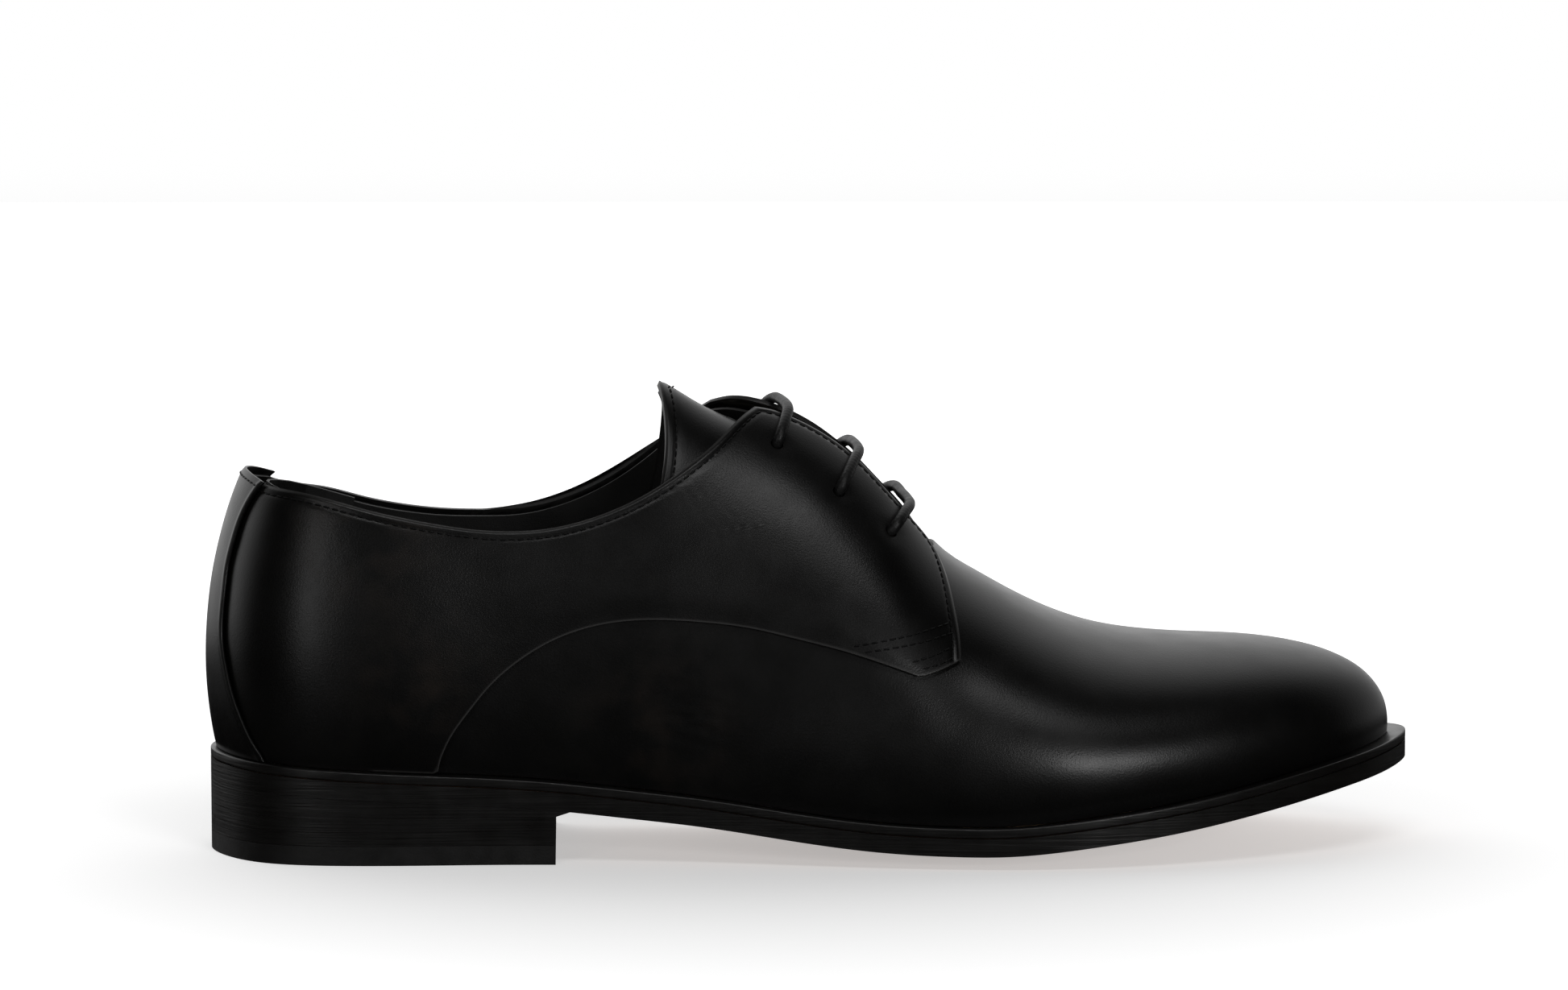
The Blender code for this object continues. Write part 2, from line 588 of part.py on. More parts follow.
def eyelet(name, centre, direction):
    """Blind eyelet: a short barrel through stay and lining, with a flange on the inside."""
    flange = EYELET_FLANGE_OUT
    profile = [(EYELET_HOLE, -0.2), (EYELET_BARREL, -0.2), (EYELET_BARREL, flange),
               (EYELET_FLANGE, flange), (EYELET_FLANGE, flange - 0.35),
               (EYELET_HOLE, flange - 0.35)]
    sides = EYELET_SIDES
    turn = Vector((0, 0, 1)).rotation_difference(Vector(direction)).to_matrix()
    points = []
    for radius, height in profile:
        for k in range(sides):
            angle = 2 * np.pi * k / sides
            local = Vector((radius * np.cos(angle), radius * np.sin(angle), height))
            points.append(np.array(centre) + np.array(turn @ local))
    faces = []
    for row in range(len(profile)):
        below, above = row * sides, (row + 1) % len(profile) * sides
        for k in range(sides):
            ahead = (k + 1) % sides
            faces.append((below + k, below + ahead, above + ahead, above + k))
    mesh = bpy.data.meshes.new(name)
    mesh.from_pydata([tuple(point) for point in points], [], faces)
    return finish(mesh, name, "black_eyelet")


def lace_route():
    """Centre line of the lace: straight bars over the tongue, runs inside from pair to pair."""
    spots = [[eyelet_frame(side, place)[0] for place in EYELET_PLACES[side]]
             for side in (0, 1)]
    facings = [on_side(side, FACINGS[side][1:9], 40, QUARTER_OUT) for side in (0, 1)]

    def crossing(side, pair):
        """Place on the facing edge that the bar crosses, a little ahead of its eyelet."""
        ahead = at_layer(facings[side], QUARTER_OUT)[:, 0]
        return np.array([np.interp(BAR_CROSSINGS[side][pair], ahead, facings[side][:, k])
                         for k in (0, 1)])

    def through(side, pair, inner, outwards):
        """Up an eyelet from the run towards the place inner; the bar leaves over the facing."""
        spot, over = spots[side][pair], crossing(side, pair)
        centre, normal = on_last(spot), outward(spot)

        def across(place):
            way = on_last(place) - centre
            way = way - normal * (way @ normal)
            return way / np.linalg.norm(way)

        below = across(inner)
        above = across(over)
        steps = [(below, 2.6, LACE_INSIDE), (below, 0.75, LACE_INSIDE + 0.55),
                 (below, 0.0, LACE_INSIDE + 1.7), (above, 0.0, -0.6), (above, 0.0, 2.0),
                 (above, 0.75, LACE_OUTSIDE - 0.5), (above, 2.2, LACE_OUTSIDE)]
        points = [centre + way * reach + normal * height for way, reach, height in steps]
        return points if outwards else points[::-1]

    def bar(pair, start):
        ends = []
        for side in (start, 1 - start):
            spot, over = spots[side][pair], crossing(side, pair)
            ends.append([at_layer(spot + (over - spot) * share, LACE_OUTSIDE)
                         for share in (0.6, 1.0)])
        near, far = ends[0][1], ends[1][1]
        x = (near[0] + far[0]) / 2
        top = np.array([x, *ridge(x)]) + (0, 0, BAR_LIFT)
        return [*ends[0], (near + 2 * top) / 3 + (0, 0, BAR_ROUND), top,
                (far + 2 * top) / 3 + (0, 0, BAR_ROUND), *ends[1][::-1]]

    def inside(side, from_pair, to_pair):
        a, b = spots[side][from_pair], spots[side][to_pair]
        steps = 3 * abs(from_pair - to_pair)
        shares = np.linspace(0, 1, steps + 2)[1:-1]
        return [at_layer(a + (b - a) * share, LACE_INSIDE) for share in shares]

    def tail(side, pair, route):
        """The loose end: back between lining and tongue, then down the wall to the insole."""
        places = on_side(side, [EYELET_PLACES[side][pair]] + route, 14)[1:]
        depth = np.linspace(0, 1, 13) ** 3 * TAIL_DEPTH
        return places, [at_layer(place, LACE_INSIDE - deep)
                        for place, deep in zip(places, depth)]

    outer_places, outer_tail = tail(0, 0, TAIL_OUTER)
    inner_places, inner_tail = tail(1, 1, TAIL_INNER)
    points = outer_tail[::-1]
    points += through(0, 0, outer_places[0], True) + bar(0, 0)
    points += through(1, 0, spots[1][1], False) + inside(1, 0, 2)
    points += through(1, 2, spots[1][1], True) + bar(2, 1)
    points += through(0, 2, spots[0][1], False) + inside(0, 2, 1)
    points += through(0, 1, spots[0][2], True) + bar(1, 0)
    points += through(1, 1, inner_places[0], False) + inner_tail
    return np.array(points)


def build_lace():
    """One continuous waxed lace, and a tip on each end."""
    route = lace_route()
    guide = bpy.data.curves.new("lace", "CURVE")
    guide.dimensions = "3D"
    line = guide.splines.new("POLY")
    line.points.add(len(route) - 1)
    for point, place in zip(line.points, route * MM):
        point.co = (*place, 1)
    guide.bevel_depth = LACE_RADIUS * MM
    guide.bevel_resolution = 2
    guide.use_fill_caps = True
    guide.materials.append(material("waxed_cotton", *FINISHES["waxed_cotton"]))
    piece = bpy.data.objects.new("lace", guide)
    bpy.context.collection.objects.link(piece)
    for name, end, before in (("aglet_lateral", route[0], route[1]),
                              ("aglet_medial", route[-1], route[-2])):
        direction = (end - before) / np.linalg.norm(end - before)
        axis_rod(name, "aglet_plastic", end, direction, GAP, 20.0, (1.35, 1.0), sides=10)


def build_upper():
    """All panels, linings and stiffeners of the upper, with their eyelets."""
    sides = ("lateral", "medial")
    for side, word in enumerate(sides):
        holes = []
        for number, place in enumerate(EYELET_PLACES[side], 1):
            _, centre, direction = eyelet_frame(side, place)
            eyelet(f"eyelet_{word}_{number}", centre, direction)
            small = axis_rod(f"lace_hole_{word}_{number}", "steel", centre, direction, -0.1, 3.0,
                             (EYELET_HOLE, EYELET_HOLE))
            wide = axis_rod(f"barrel_hole_{word}_{number}", "steel", centre, direction, -5.5,
                            0.22, (EYELET_BARREL + GAP, EYELET_BARREL + GAP))
            holes.append((hide(small), hide(wide)))

        quarter = panel(f"quarter_{word}", "upper_leather", build_quarter(side, 30, 9),
                        QUARTER_OUT, LEATHER)
        lining = panel(f"quarter_lining_{word}", "lining_leather", lining_grid(side, 20, 8),
                       QUARTER_LINING_OUT, LINING)
        stay = panel(f"facing_stay_{word}", "stiffener", stay_grid(side), -0.5, 0.6)
        for small, wide in holes:
            cut(quarter, small)
            cut(lining, wide)
            cut(stay, wide)

    panel("vamp", "upper_leather", vamp_grid(THROAT, 40, 12), 0.0, LEATHER)
    panel("vamp_lining", "lining_leather", vamp_grid(LINING_THROAT, 28, 10), VAMP_LINING_OUT,
          LINING)
    panel("toe_puff", "stiffener", puff_grid(), PUFF_OUT, STIFFENER)
    panel("heel_counter", "stiffener", counter_grid(), COUNTER_OUT, STIFFENER)
    panel("heel_grip", "lining_leather", grip_grid(), GRIP_OUT, 0.7)
    panel("back_strip", "upper_leather", strip_grid(), STRIP_OUT, STRIP)


LINING_THROAT = [(36.8, 70.4), (32.4, 61.5), (24.4, 54.5), (16.5, 45.6), (11.5, 33.7), (9.6, 13.9)]
STAY_EDGE = [(-20.2, 96.2), (-12.3, 93.2), (-2.3, 86.2), (6.6, 79.8), (13.5, 76.3)]
LINING_FRONT = [(4.6, 15.4), (8.6, 35.7), (14.5, 51.5), (22.4, 65.4), (26.4, 75.8)]


def lining_grid(side, columns, rows):
    """Quarter lining: heel seam to just behind the vamp lining."""
    seam_s = SEAM_S[side]
    back_top = (seam_s, rib_height(seam_s, TOPLINES[side][0][1] - 0.8))
    top = start_at(back_top, on_side(side, [(x, z - 0.8) for x, z in TOPLINES[side]], 50,
                                     QUARTER_OUT))
    facing = on_side(side, [(x - 0.6, z - 0.9) for x, z in FACINGS[side][:8]], 30, QUARTER_OUT)
    top[-1] = facing[0]
    top_edge = np.vstack([top, facing[1:]])
    front = on_side(side, LINING_FRONT, 20)
    front = end_at(top_edge[-1], front)
    foot = np.column_stack([np.linspace(seam_s, front[0][0], 20), np.zeros(20)])
    front[0, 1] = 0.0
    left = np.column_stack([np.full(12, seam_s), np.linspace(0, back_top[1], 12)])
    return coons(even(foot, columns), even(top_edge, columns), even(left, rows),
                 even(front, rows))


def stay_grid(side):
    """Strip behind the eyelets, along the facing edge."""
    edge = on_side(side, [(x - 1.5, z - 2.2) for x, z in FACINGS[side][1:8]], 16, QUARTER_OUT)
    inner = on_side(side, STAY_EDGE, 16)
    return coons(even(inner, 14), even(edge, 14), np.linspace(inner[0], edge[0], 5),
                 np.linspace(inner[-1], edge[-1], 5))


def vamp_grid(throat, columns, rows):
    """Horseshoe patch round the toe, laid out on the flat plan so that it has no pole."""
    outer = on_side(0, throat, 60)
    inner = on_side(1, throat, 60)
    centre = np.array([[throat[0][0] + 1.5, ridge(throat[0][0] + 1.5)[0]]])
    line_outer, line_inner = flat(outer[::-1]), flat(inner)
    bridge = curve([line_outer[-1], centre[0], line_inner[0]], 12)
    upper = np.vstack([line_outer, bridge[1:-1], line_inner])
    s_ends = outer[-1][0], inner[-1][0]
    lower = flat(np.column_stack([np.linspace(*s_ends, 300), np.zeros(300)]))
    upper, lower = resample(upper, columns, 0.45), resample(lower, columns, 0.45)
    left = np.linspace(lower[0], upper[0], rows)
    right = np.linspace(lower[-1], upper[-1], rows)
    return find(flat, coons(lower, upper, left, right, 1.3), 0.0, 1.0)


def resample(line, count, crowd=0.0):
    """Samples along a plan line, up to 1 / (1 - crowd) times closer near its middle."""
    length = np.concatenate([[0], np.cumsum(np.linalg.norm(np.diff(line, axis=0), axis=1))])
    turn = np.linspace(-1, 1, count)
    at = length[-1] * (0.5 + 0.5 * (turn * (1 - crowd) + crowd * turn ** 3))
    return np.column_stack([np.interp(at, length, line[:, k]) for k in range(line.shape[1])])


def puff_grid():
    """Toe stiffener: the front 40 mm."""
    outer_s, inner_s = s_of_foot(110, 0), s_of_foot(110, 1)
    lower = resample(flat(np.column_stack([np.linspace(outer_s, inner_s, 80),
                                           np.full(80, 0.03)])), 17)
    upper = resample(np.array([flat(np.array([s_of_foot(104, 0), 0.05])), (106, 4.4),
                               flat(np.array([s_of_foot(104, 1), 0.05]))]), 17)
    left = np.linspace(lower[0], upper[0], 8)
    right = np.linspace(lower[-1], upper[-1], 8)
    return find(flat, coons(lower, upper, left, right, 1.3), 0.0, 1.0)


def around_heel(front_x, foot_t, tops, columns, rows):
    """Patch round the back: from front_x on the outer side to the same on the inner side."""
    ends = s_of_foot(front_x, 0), s_of_foot(front_x, 1) - 1
    s_values = np.linspace(*ends, columns)
    heights = tops(s_values)
    return np.array([[(s, foot_t + (rib_height(s, z) - foot_t) * share)
                      for share in np.linspace(0, 1, rows)]
                     for s, z in zip(s_values, heights)])


def counter_grid():
    """Heel stiffener, highest at the back and sloping to the waist."""
    def tops(s):
        share = np.abs(s) / np.abs(s).max()
        return 74 - 38 * share ** 2.2
    return around_heel(-103, 0.0, tops, 15, 5)


def grip_grid():
    """Suede grip inside the back."""
    def tops(s):
        share = np.abs(s) / np.abs(s).max()
        return 93.5 - 7 * share ** 2
    return around_heel(-118, 0.06, tops, 12, 6)


def strip_grid():
    """Back strip: narrow at the top, wide at the foot, its top edge turned over the topline."""
    outer, inner = [on_side(side, STRIP_SEAM, 12, STRIP_OUT) for side in (0, 1)]
    outer[0, 1] = inner[0, 1] = 0.0
    across = np.linspace(0, 1, 15)[:, None, None]
    grid = (1 - across) * outer + across * (inner - (1, 0))
    up = np.linspace(0, 1, 12) ** 3
    grid[..., 1] += STRIP_BOW * up * (1 - (2 * across[..., 0] - 1) ** 2)
    return grid


def tongue_grid(columns, rows, inset):
    """Tongue from its stitched base under the vamp to its free, rounded top edge."""
    edge = [(x + (inset if x < 0 else -inset), z + inset) for x, z in TONGUE_EDGE]
    outer, inner = (flat(on_side(side, edge, columns)) for side in (0, 1))
    along = np.linspace(0, 1, columns)[:, None]
    across = np.linspace(-1, 1, rows)[None, :]
    share = (across[..., None] + 1) / 2
    plan = outer[:, None] * (1 - share) + inner[:, None] * share
    plan[..., 0] += TONGUE_DIP * along * (1 - across ** 4)
    return find(flat, plan, 0.0, 1.0)


def tongue_layer(grid):
    """The tongue starts close under the vamp and dips below the lace and the facings."""
    share = np.clip((TONGUE_BASE_X - on_last(grid)[..., 0]) / TONGUE_RAMP, 0, 1)
    share = share * share * (3 - 2 * share)
    return TONGUE_BASE_OUT + (TONGUE_OUT - TONGUE_BASE_OUT) * share


def build_tongue():
    """Tongue and its lining, parented to an empty on the line it folds on."""
    hinge = bpy.data.objects.new("tongue_hinge", None)
    base = ridge(TONGUE_BASE_X)
    hinge.location = Vector((TONGUE_BASE_X, 0, base[1] + TONGUE_BASE_OUT - LEATHER)) * MM
    bpy.context.collection.objects.link(hinge)
    grid = tongue_grid(12, 11, 0.0)
    tongue = panel("tongue", "upper_leather", grid, tongue_layer(grid), LEATHER)
    grid = tongue_grid(12, 11, TONGUE_LINING_INSET)
    lining = panel("tongue_lining", "lining_leather", grid,
                   tongue_layer(grid) - LEATHER - 3 * GAP, LINING)
    bpy.context.view_layer.update()
    for piece in (tongue, lining):
        piece.parent = hinge
        piece.matrix_parent_inverse = hinge.matrix_world.inverted()


for old in list(bpy.data.objects):
    bpy.data.objects.remove(old, do_unlink=True)

nail_cutters = [hide(rod(f"nail_hole_{number}", "steel", centre, NAIL_FOOT - 1, NAIL_TOP + 0.5,
                         NAIL_RADIUS + GAP))
                for number, centre in enumerate(NAILS, 1)]
build_heel()
build_nails()
build_bottom()
build_upper()
build_tongue()
build_lace()
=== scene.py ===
"""Visual model of a right leather derby shoe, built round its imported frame.

Lengths in the sections are in millimetres, and laid() turns them into metres. X runs from heel to
toe, Y to the inner side of the foot, Z up from the floor.
"""
import bpy
import numpy as np
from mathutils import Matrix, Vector
from mathutils.kdtree import KDTree


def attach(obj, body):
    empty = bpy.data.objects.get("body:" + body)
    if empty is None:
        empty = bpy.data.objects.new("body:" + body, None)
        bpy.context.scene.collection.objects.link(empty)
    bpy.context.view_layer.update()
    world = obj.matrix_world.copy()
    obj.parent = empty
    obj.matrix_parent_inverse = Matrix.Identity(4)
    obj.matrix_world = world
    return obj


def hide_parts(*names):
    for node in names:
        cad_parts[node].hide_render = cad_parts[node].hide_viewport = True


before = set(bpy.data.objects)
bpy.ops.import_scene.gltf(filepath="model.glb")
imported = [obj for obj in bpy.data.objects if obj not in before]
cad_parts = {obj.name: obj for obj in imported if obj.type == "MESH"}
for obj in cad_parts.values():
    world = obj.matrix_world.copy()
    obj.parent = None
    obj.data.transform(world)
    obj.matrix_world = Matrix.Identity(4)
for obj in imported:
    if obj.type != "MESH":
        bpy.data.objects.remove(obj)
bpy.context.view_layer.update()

# ---- Studio -------------------------------------------------------------------------------------
# A pale floor that glows with painted light, fully far from the shoe and weaker near it so that
# the floor round the shoe is darker and the lamps' shadows show there, a bright wall behind and a
# dark room in front, so that the black leather shows its form by what it mirrors. Soft panels
# light it from above, from the heel side and the toe side.
MM = 0.001
AZIMUTH, ELEVATION = np.radians(-3.0), np.radians(4.6)
AIM = Vector((-0.0070, 0.0, 0.08773))
BACK = Vector((np.sin(AZIMUTH) * np.cos(ELEVATION), -np.cos(AZIMUTH) * np.cos(ELEVATION),
               np.sin(ELEVATION)))
DISTANCE = 1.06
camera = bpy.data.objects.new("camera", bpy.data.cameras.new("camera"))
camera.data.lens = 96.52
camera.data.clip_end = 50
camera.location = AIM + BACK * DISTANCE
camera.rotation_euler = BACK.to_track_quat("Z", "Y").to_euler()
bpy.context.collection.objects.link(camera)
bpy.context.scene.camera = camera
bpy.context.scene.view_settings.view_transform = "Standard"


class Value:
    """A shader socket that takes part in sums. Each sum adds a Math node."""

    def __init__(self, finish, socket):
        self.finish, self.socket = finish, socket

    def sum(self, operation, a, b):
        return self.finish.node("ShaderNodeMath", {"operation": operation}, {0: a, 1: b})

    def __add__(self, other):
        return self.sum("ADD", self, other)

    def __sub__(self, other):
        return self.sum("SUBTRACT", self, other)

    def __rsub__(self, other):
        return self.sum("SUBTRACT", other, self)

    def __mul__(self, other):
        return self.sum("MULTIPLY", self, other)

    def __pow__(self, other):
        return self.sum("POWER", self, other)

    __radd__ = __add__
    __rmul__ = __mul__


class Finish:
    """A material under construction: its nodes, and the sockets of its one Principled shader."""

    def __init__(self, name, **constants):
        self.material = bpy.data.materials.new(name)
        self.material.use_nodes = True
        self.tree = self.material.node_tree
        self.shader = self.tree.nodes["Principled BSDF"]
        for socket, value in constants.items():
            self.shader.inputs[socket.replace("_", " ")].default_value = value
        self.place = self.node("ShaderNodeTexCoord", {}, {}, "Object")

    def node(self, kind, settings, sockets, output=0):
        made = self.tree.nodes.new(kind)
        for name, value in settings.items():
            if name == "stops":
                ramp = made.color_ramp
                while len(ramp.elements) < len(value):
                    ramp.elements.new(0.5)
                for element, (at, level) in zip(ramp.elements, value):
                    element.position = at
                    element.color = (level, level, level, 1)
            else:
                setattr(made, name, value)
        for name, value in sockets.items():
            if isinstance(value, Value):
                self.tree.links.new(value.socket, made.inputs[name])
            else:
                made.inputs[name].default_value = value
        return Value(self, made.outputs[output])

    def feed(self, **links):
        for socket, value in links.items():
            self.tree.links.new(value.socket, self.shader.inputs[socket.replace("_", " ")])

    def scaled(self, x, y, z):
        """Object coordinates with each axis multiplied, for a pattern that runs one way."""
        return self.node("ShaderNodeVectorMath", {"operation": "MULTIPLY"},
                         {0: self.place, 1: (x, y, z)})

    def noise(self, size, detail=2.0, place=None):
        """Cloudy pattern from 0 to 1 whose blots are about size millimetres across."""
        return self.node("ShaderNodeTexNoise", {},
                         {"Vector": place or self.place, "Scale": 1 / (size * MM),
                          "Detail": detail})

    def cells(self, size, feature="F1"):
        """Distance pattern of cells about size millimetres across."""
        return self.node("ShaderNodeTexVoronoi", {"feature": feature},
                         {"Vector": self.place, "Scale": 1 / (size * MM)})

    def ramp(self, value, *stops):
        return self.node("ShaderNodeValToRGB", {"stops": stops}, {0: value})

    def near(self, centre, reach):
        """1 at a place given in millimetres, fading to 0 at reach from it."""
        gap = self.node("ShaderNodeVectorMath", {"operation": "DISTANCE"},
                        {0: self.place, 1: tuple(c * MM for c in centre)}, "Value")
        return self.node("ShaderNodeMapRange", {"interpolation_type": "SMOOTHSTEP"},
                         {"Value": gap, "From Min": reach * MM, "From Max": 0.0})

    def mix(self, factor, a, b):
        """Colour a where factor is 0, b where it is 1."""
        sockets = {0: factor, 6: a, 7: b}
        return self.node("ShaderNodeMix", {"data_type": "RGBA"}, sockets, 2)

    def held(self, name):
        """A number stored on the piece's points."""
        return self.node("ShaderNodeAttribute", {"attribute_name": name}, {}, "Fac")

    def bump(self, height, depth):
        """Relief of that many millimetres where height goes from 0 to 1."""
        return self.node("ShaderNodeBump", {}, {"Height": height, "Distance": depth * MM})


floor_paint = Finish("studio_floor", Roughness=0.9)
floor_paint.shader.inputs["Specular IOR Level"].default_value = 0.1
# Painted light and shade: the floor glows at full strength from 420 mm out and at 0.4 near the
# shoe, so the far floor is white and the floor round the shoe is darker.
floor_glow = floor_paint.mix(floor_paint.near((0, 0, 0), 420) ** 0.7, (1, 1, 1, 1), (0.4, 0.4, 0.4, 1))
floor_paint.feed(Emission_Color=floor_glow,
                 Base_Color=floor_paint.mix(floor_paint.noise(900), (0.93, 0.93, 0.93, 1),
                                            (0.95, 0.95, 0.95, 1)))
floor_paint.shader.inputs["Emission Strength"].default_value = 1.0
bpy.ops.mesh.primitive_plane_add(size=30)
floor = bpy.context.active_object
floor.name = "floor"
floor.data.materials.append(floor_paint.material)
floor.visible_glossy = False

world = bpy.data.worlds.new("studio")
bpy.context.scene.world = world
world.use_nodes = True
sky = world.node_tree
direction = sky.nodes.new("ShaderNodeTexCoord").outputs["Generated"]
axes = sky.nodes.new("ShaderNodeSeparateXYZ")
sky.links.new(direction, axes.inputs[0])
strength = None
for axis, low, high, dark, bright in (("Y", -0.05, 0.65, 0.01, 1.0), ("Z", -0.12, 0.0, 0.0, 1.0),
                                      ("X", 0.25, 0.75, 1.0, 0.3)):
    fade = sky.nodes.new("ShaderNodeMapRange")
    fade.interpolation_type = "SMOOTHSTEP"
    for socket, value in (("From Min", low), ("From Max", high), ("To Min", dark),
                          ("To Max", bright)):
        fade.inputs[socket].default_value = value
    sky.links.new(axes.outputs[axis], fade.inputs["Value"])
    if strength is None:
        strength = fade.outputs[0]
    else:
        product = sky.nodes.new("ShaderNodeMath")
        product.operation = "MULTIPLY"
        sky.links.new(strength, product.inputs[0])
        sky.links.new(fade.outputs[0], product.inputs[1])
        strength = product.outputs[0]
sky.links.new(strength, sky.nodes["Background"].inputs["Strength"])
sky.nodes["Background"].inputs["Color"].default_value = (1, 1, 1, 1)


def softbox(name, place, aim, width, height, power):
    """Rectangular soft light, its place and aim in metres."""
    light = bpy.data.lights.new(name, "AREA")
    light.shape = "RECTANGLE"
    light.size, light.size_y, light.energy = width, height, power
    lamp = bpy.data.objects.new(name, light)
    lamp.location = place
    lamp.rotation_euler = (Vector(place) - Vector(aim)).to_track_quat("Z", "Y").to_euler()
    bpy.context.collection.objects.link(lamp)


softbox("overhead_panel", (0.02, -0.80, 1.15), (0.0, 0, 0.08), 0.8, 0.32, 2.7)
softbox("heel_side_panel", (-0.76, -1.22, 0.36), (-0.12, 0, 0.07), 0.28, 0.75, 1.3)
softbox("toe_side_panel", (0.50, -1.22, 0.33), (0.05, 0, 0.03), 0.34, 0.26, 3.4)

# ---- Heel ---------------------------------------------------------------------------------------
# A black rubber top piece, two leather lifts and a wedge that takes up the slope of the sole,
# glued and nailed. The stack is sanded flush, stained black, waxed and burnished.
HALF = 152.5
OUTSOLE, WELT, GAP = 4.2, 2.4, 0.3
TOP_PIECE, LIFT = 4.5, 3.2
BREAST_X, BREAST_LIP = -64.8, 3.5
SEAM = 0.05

OUTER_EDGE = [(1.2, 0), (6, -17), (16.5, -29), (35, -34.5), (70, -35), (100, -36.5), (130, -40.5),
              (160, -46), (190, -50.5), (215, -51.5), (240, -47.5), (263, -40), (281, -30.5),
              (293.5, -19), (301.5, -7), (305, 5)]
INNER_EDGE = [(302.5, 15.5), (296, 26), (285, 35.5), (271, 43), (254, 48.5), (235, 51.5),
              (215, 51), (190, 44), (160, 33), (130, 27.5), (100, 29), (70, 32.5), (35, 33.5),
              (16.5, 28.5), (6, 17)]
EDGE_HEIGHT = [(-HALF, 18.8), (-110.4, 15.9), (-64.8, 13.3), (-47.9, 11.6), (-28.1, 9.5),
               (-8.8, 6.8), (10.5, 4.5), (34.3, 3.4), (44.2, 3.5), (64.1, 5.4), (84.9, 8.1),
               (105.7, 11.7), (128.5, 16.2), (HALF, 20.4)]
CROWN = [(-HALF, 0.0), (-64.8, 0.0), (-31.1, 0.8), (8.6, 2.8), (39.3, 3.36), (78.0, 2.6),
         (117.6, 1.2), (HALF, 0.0)]


def spline(knots):
    """Natural cubic spline through rows (x, values...), as a function of x."""
    rows = np.array(knots, float)
    x, y = rows[:, 0], rows[:, 1:]
    step = np.diff(x)
    slope = np.diff(y, axis=0) / step[:, None]
    matrix = np.eye(len(x))
    right = np.zeros_like(y)
    for i in range(1, len(x) - 1):
        matrix[i, i - 1:i + 2] = step[i - 1], 2 * (step[i - 1] + step[i]), step[i]
        right[i] = 6 * (slope[i] - slope[i - 1])
    bend = np.linalg.solve(matrix, right)

    def value(at):
        at = np.asarray(at, float)
        i = np.clip(np.searchsorted(x, at) - 1, 0, len(x) - 2)
        width = step[i][..., None]
        left, ahead = (x[i + 1] - at)[..., None], (at - x[i])[..., None]
        return ((bend[i] * left ** 3 + bend[i + 1] * ahead ** 3) / (6 * width)
                + (y[i] / width - bend[i] * width / 6) * left
                + (y[i + 1] / width - bend[i + 1] * width / 6) * ahead)
    return value


def closed_edge():
    """The sole's edge as a function of s, with s = 0.5 at the toe tip."""
    ring = np.array(OUTER_EDGE + INNER_EDGE, float) - (HALF, 0)
    tip = len(OUTER_EDGE) - 1
    steps = np.linalg.norm(np.diff(np.vstack([ring, ring[:1]]), axis=0), axis=1)
    s = np.concatenate([[0], np.cumsum(steps)])
    first, last = s[tip], s[-1]
    s = np.where(s <= first, 0.5 * s / first, 0.5 + 0.5 * (s - first) / (last - first))
    wrap = 5
    knots = np.vstack([np.column_stack([s[:-1] + turn, ring]) for turn in (-1, 0, 1)])
    return spline(knots[len(ring) - wrap:2 * len(ring) + wrap])


sole_edge = closed_edge()
edge_height = spline(EDGE_HEIGHT)
crown = spline(CROWN)
middle_y = spline([(-HALF, 0), (-60, -1.5), (-20, -5), (20, -4), (60, 0), (100, 3), (HALF, 3)])
half_width = spline([(-HALF, 30), (-80, 34), (-20, 35), (20, 42), (60, 51), (100, 45),
                     (130, 32), (HALF, 26)])


def inset_edge(s, inset):
    """The sole's edge moved in by inset."""
    s = np.asarray(s, float) % 1.0
    along = sole_edge(s + 0.001) - sole_edge(s - 0.001)
    along /= np.linalg.norm(along, axis=-1, keepdims=True)
    inwards = np.stack([-along[..., 1], along[..., 0]], -1)
    return sole_edge(s) + inwards * np.asarray(inset, float)[..., None]


def underside(x, y):
    """Height of the outsole's lower face."""
    x = np.asarray(x, float)
    across = np.clip((y - middle_y(x)[..., 0]) / half_width(x)[..., 0], -1, 1)
    return edge_height(x)[..., 0] - crown(x)[..., 0] * (1 - across ** 2)


def s_at(x):
    """s on the outer side where the sole's edge is at x."""
    samples = np.linspace(0, 0.5, 800)
    return float(np.interp(x, sole_edge(samples)[:, 0], samples))


def stations(first, last, count):
    """s values packed towards the rounded heel and toe ends."""
    turn = np.linspace(0, 1, count)
    ease = 0.5 - 0.5 * np.cos(np.pi * turn)
    return first + (last - first) * (0.5 * ease + 0.5 * turn)


def alone(piece):
    """Makes piece the one selected and active object."""
    bpy.ops.object.select_all(action="DESELECT")
    piece.select_set(True)
    bpy.context.view_layer.objects.active = piece


def edit(piece, *steps):
    """Runs edit-mode operators on all of a piece."""
    alone(piece)
    bpy.ops.object.mode_set(mode="EDIT")
    bpy.ops.mesh.select_all(action="SELECT")
    for step, settings in steps:
        step(**settings)
    bpy.ops.object.mode_set(mode="OBJECT")


def modify(piece, kind, **settings):
    """Adds a modifier and applies it."""
    alone(piece)
    modifier = piece.modifiers.new(kind.lower(), kind)
    for name, value in settings.items():
        setattr(modifier, name, value)
    bpy.ops.object.modifier_apply(modifier=modifier.name)


def laid(name, points):
    """Sheet of faces through a grid of points in millimetres, from a grid primitive."""
    rows, columns = points.shape[:2]
    bpy.ops.object.select_all(action="DESELECT")
    bpy.ops.mesh.primitive_grid_add(x_subdivisions=rows - 1, y_subdivisions=columns - 1, size=2)
    piece = bpy.context.active_object
    piece.name = piece.data.name = name
    at = np.empty(len(piece.data.vertices) * 3, np.float32)
    piece.data.vertices.foreach_get("co", at)
    at = at.reshape(-1, 3)
    row = np.rint((at[:, 0] + 1) / 2 * (rows - 1)).astype(int)
    column = np.rint((at[:, 1] + 1) / 2 * (columns - 1)).astype(int)
    piece.data.vertices.foreach_set("co", (points[row, column] * MM).astype(np.float32).ravel())
    return piece


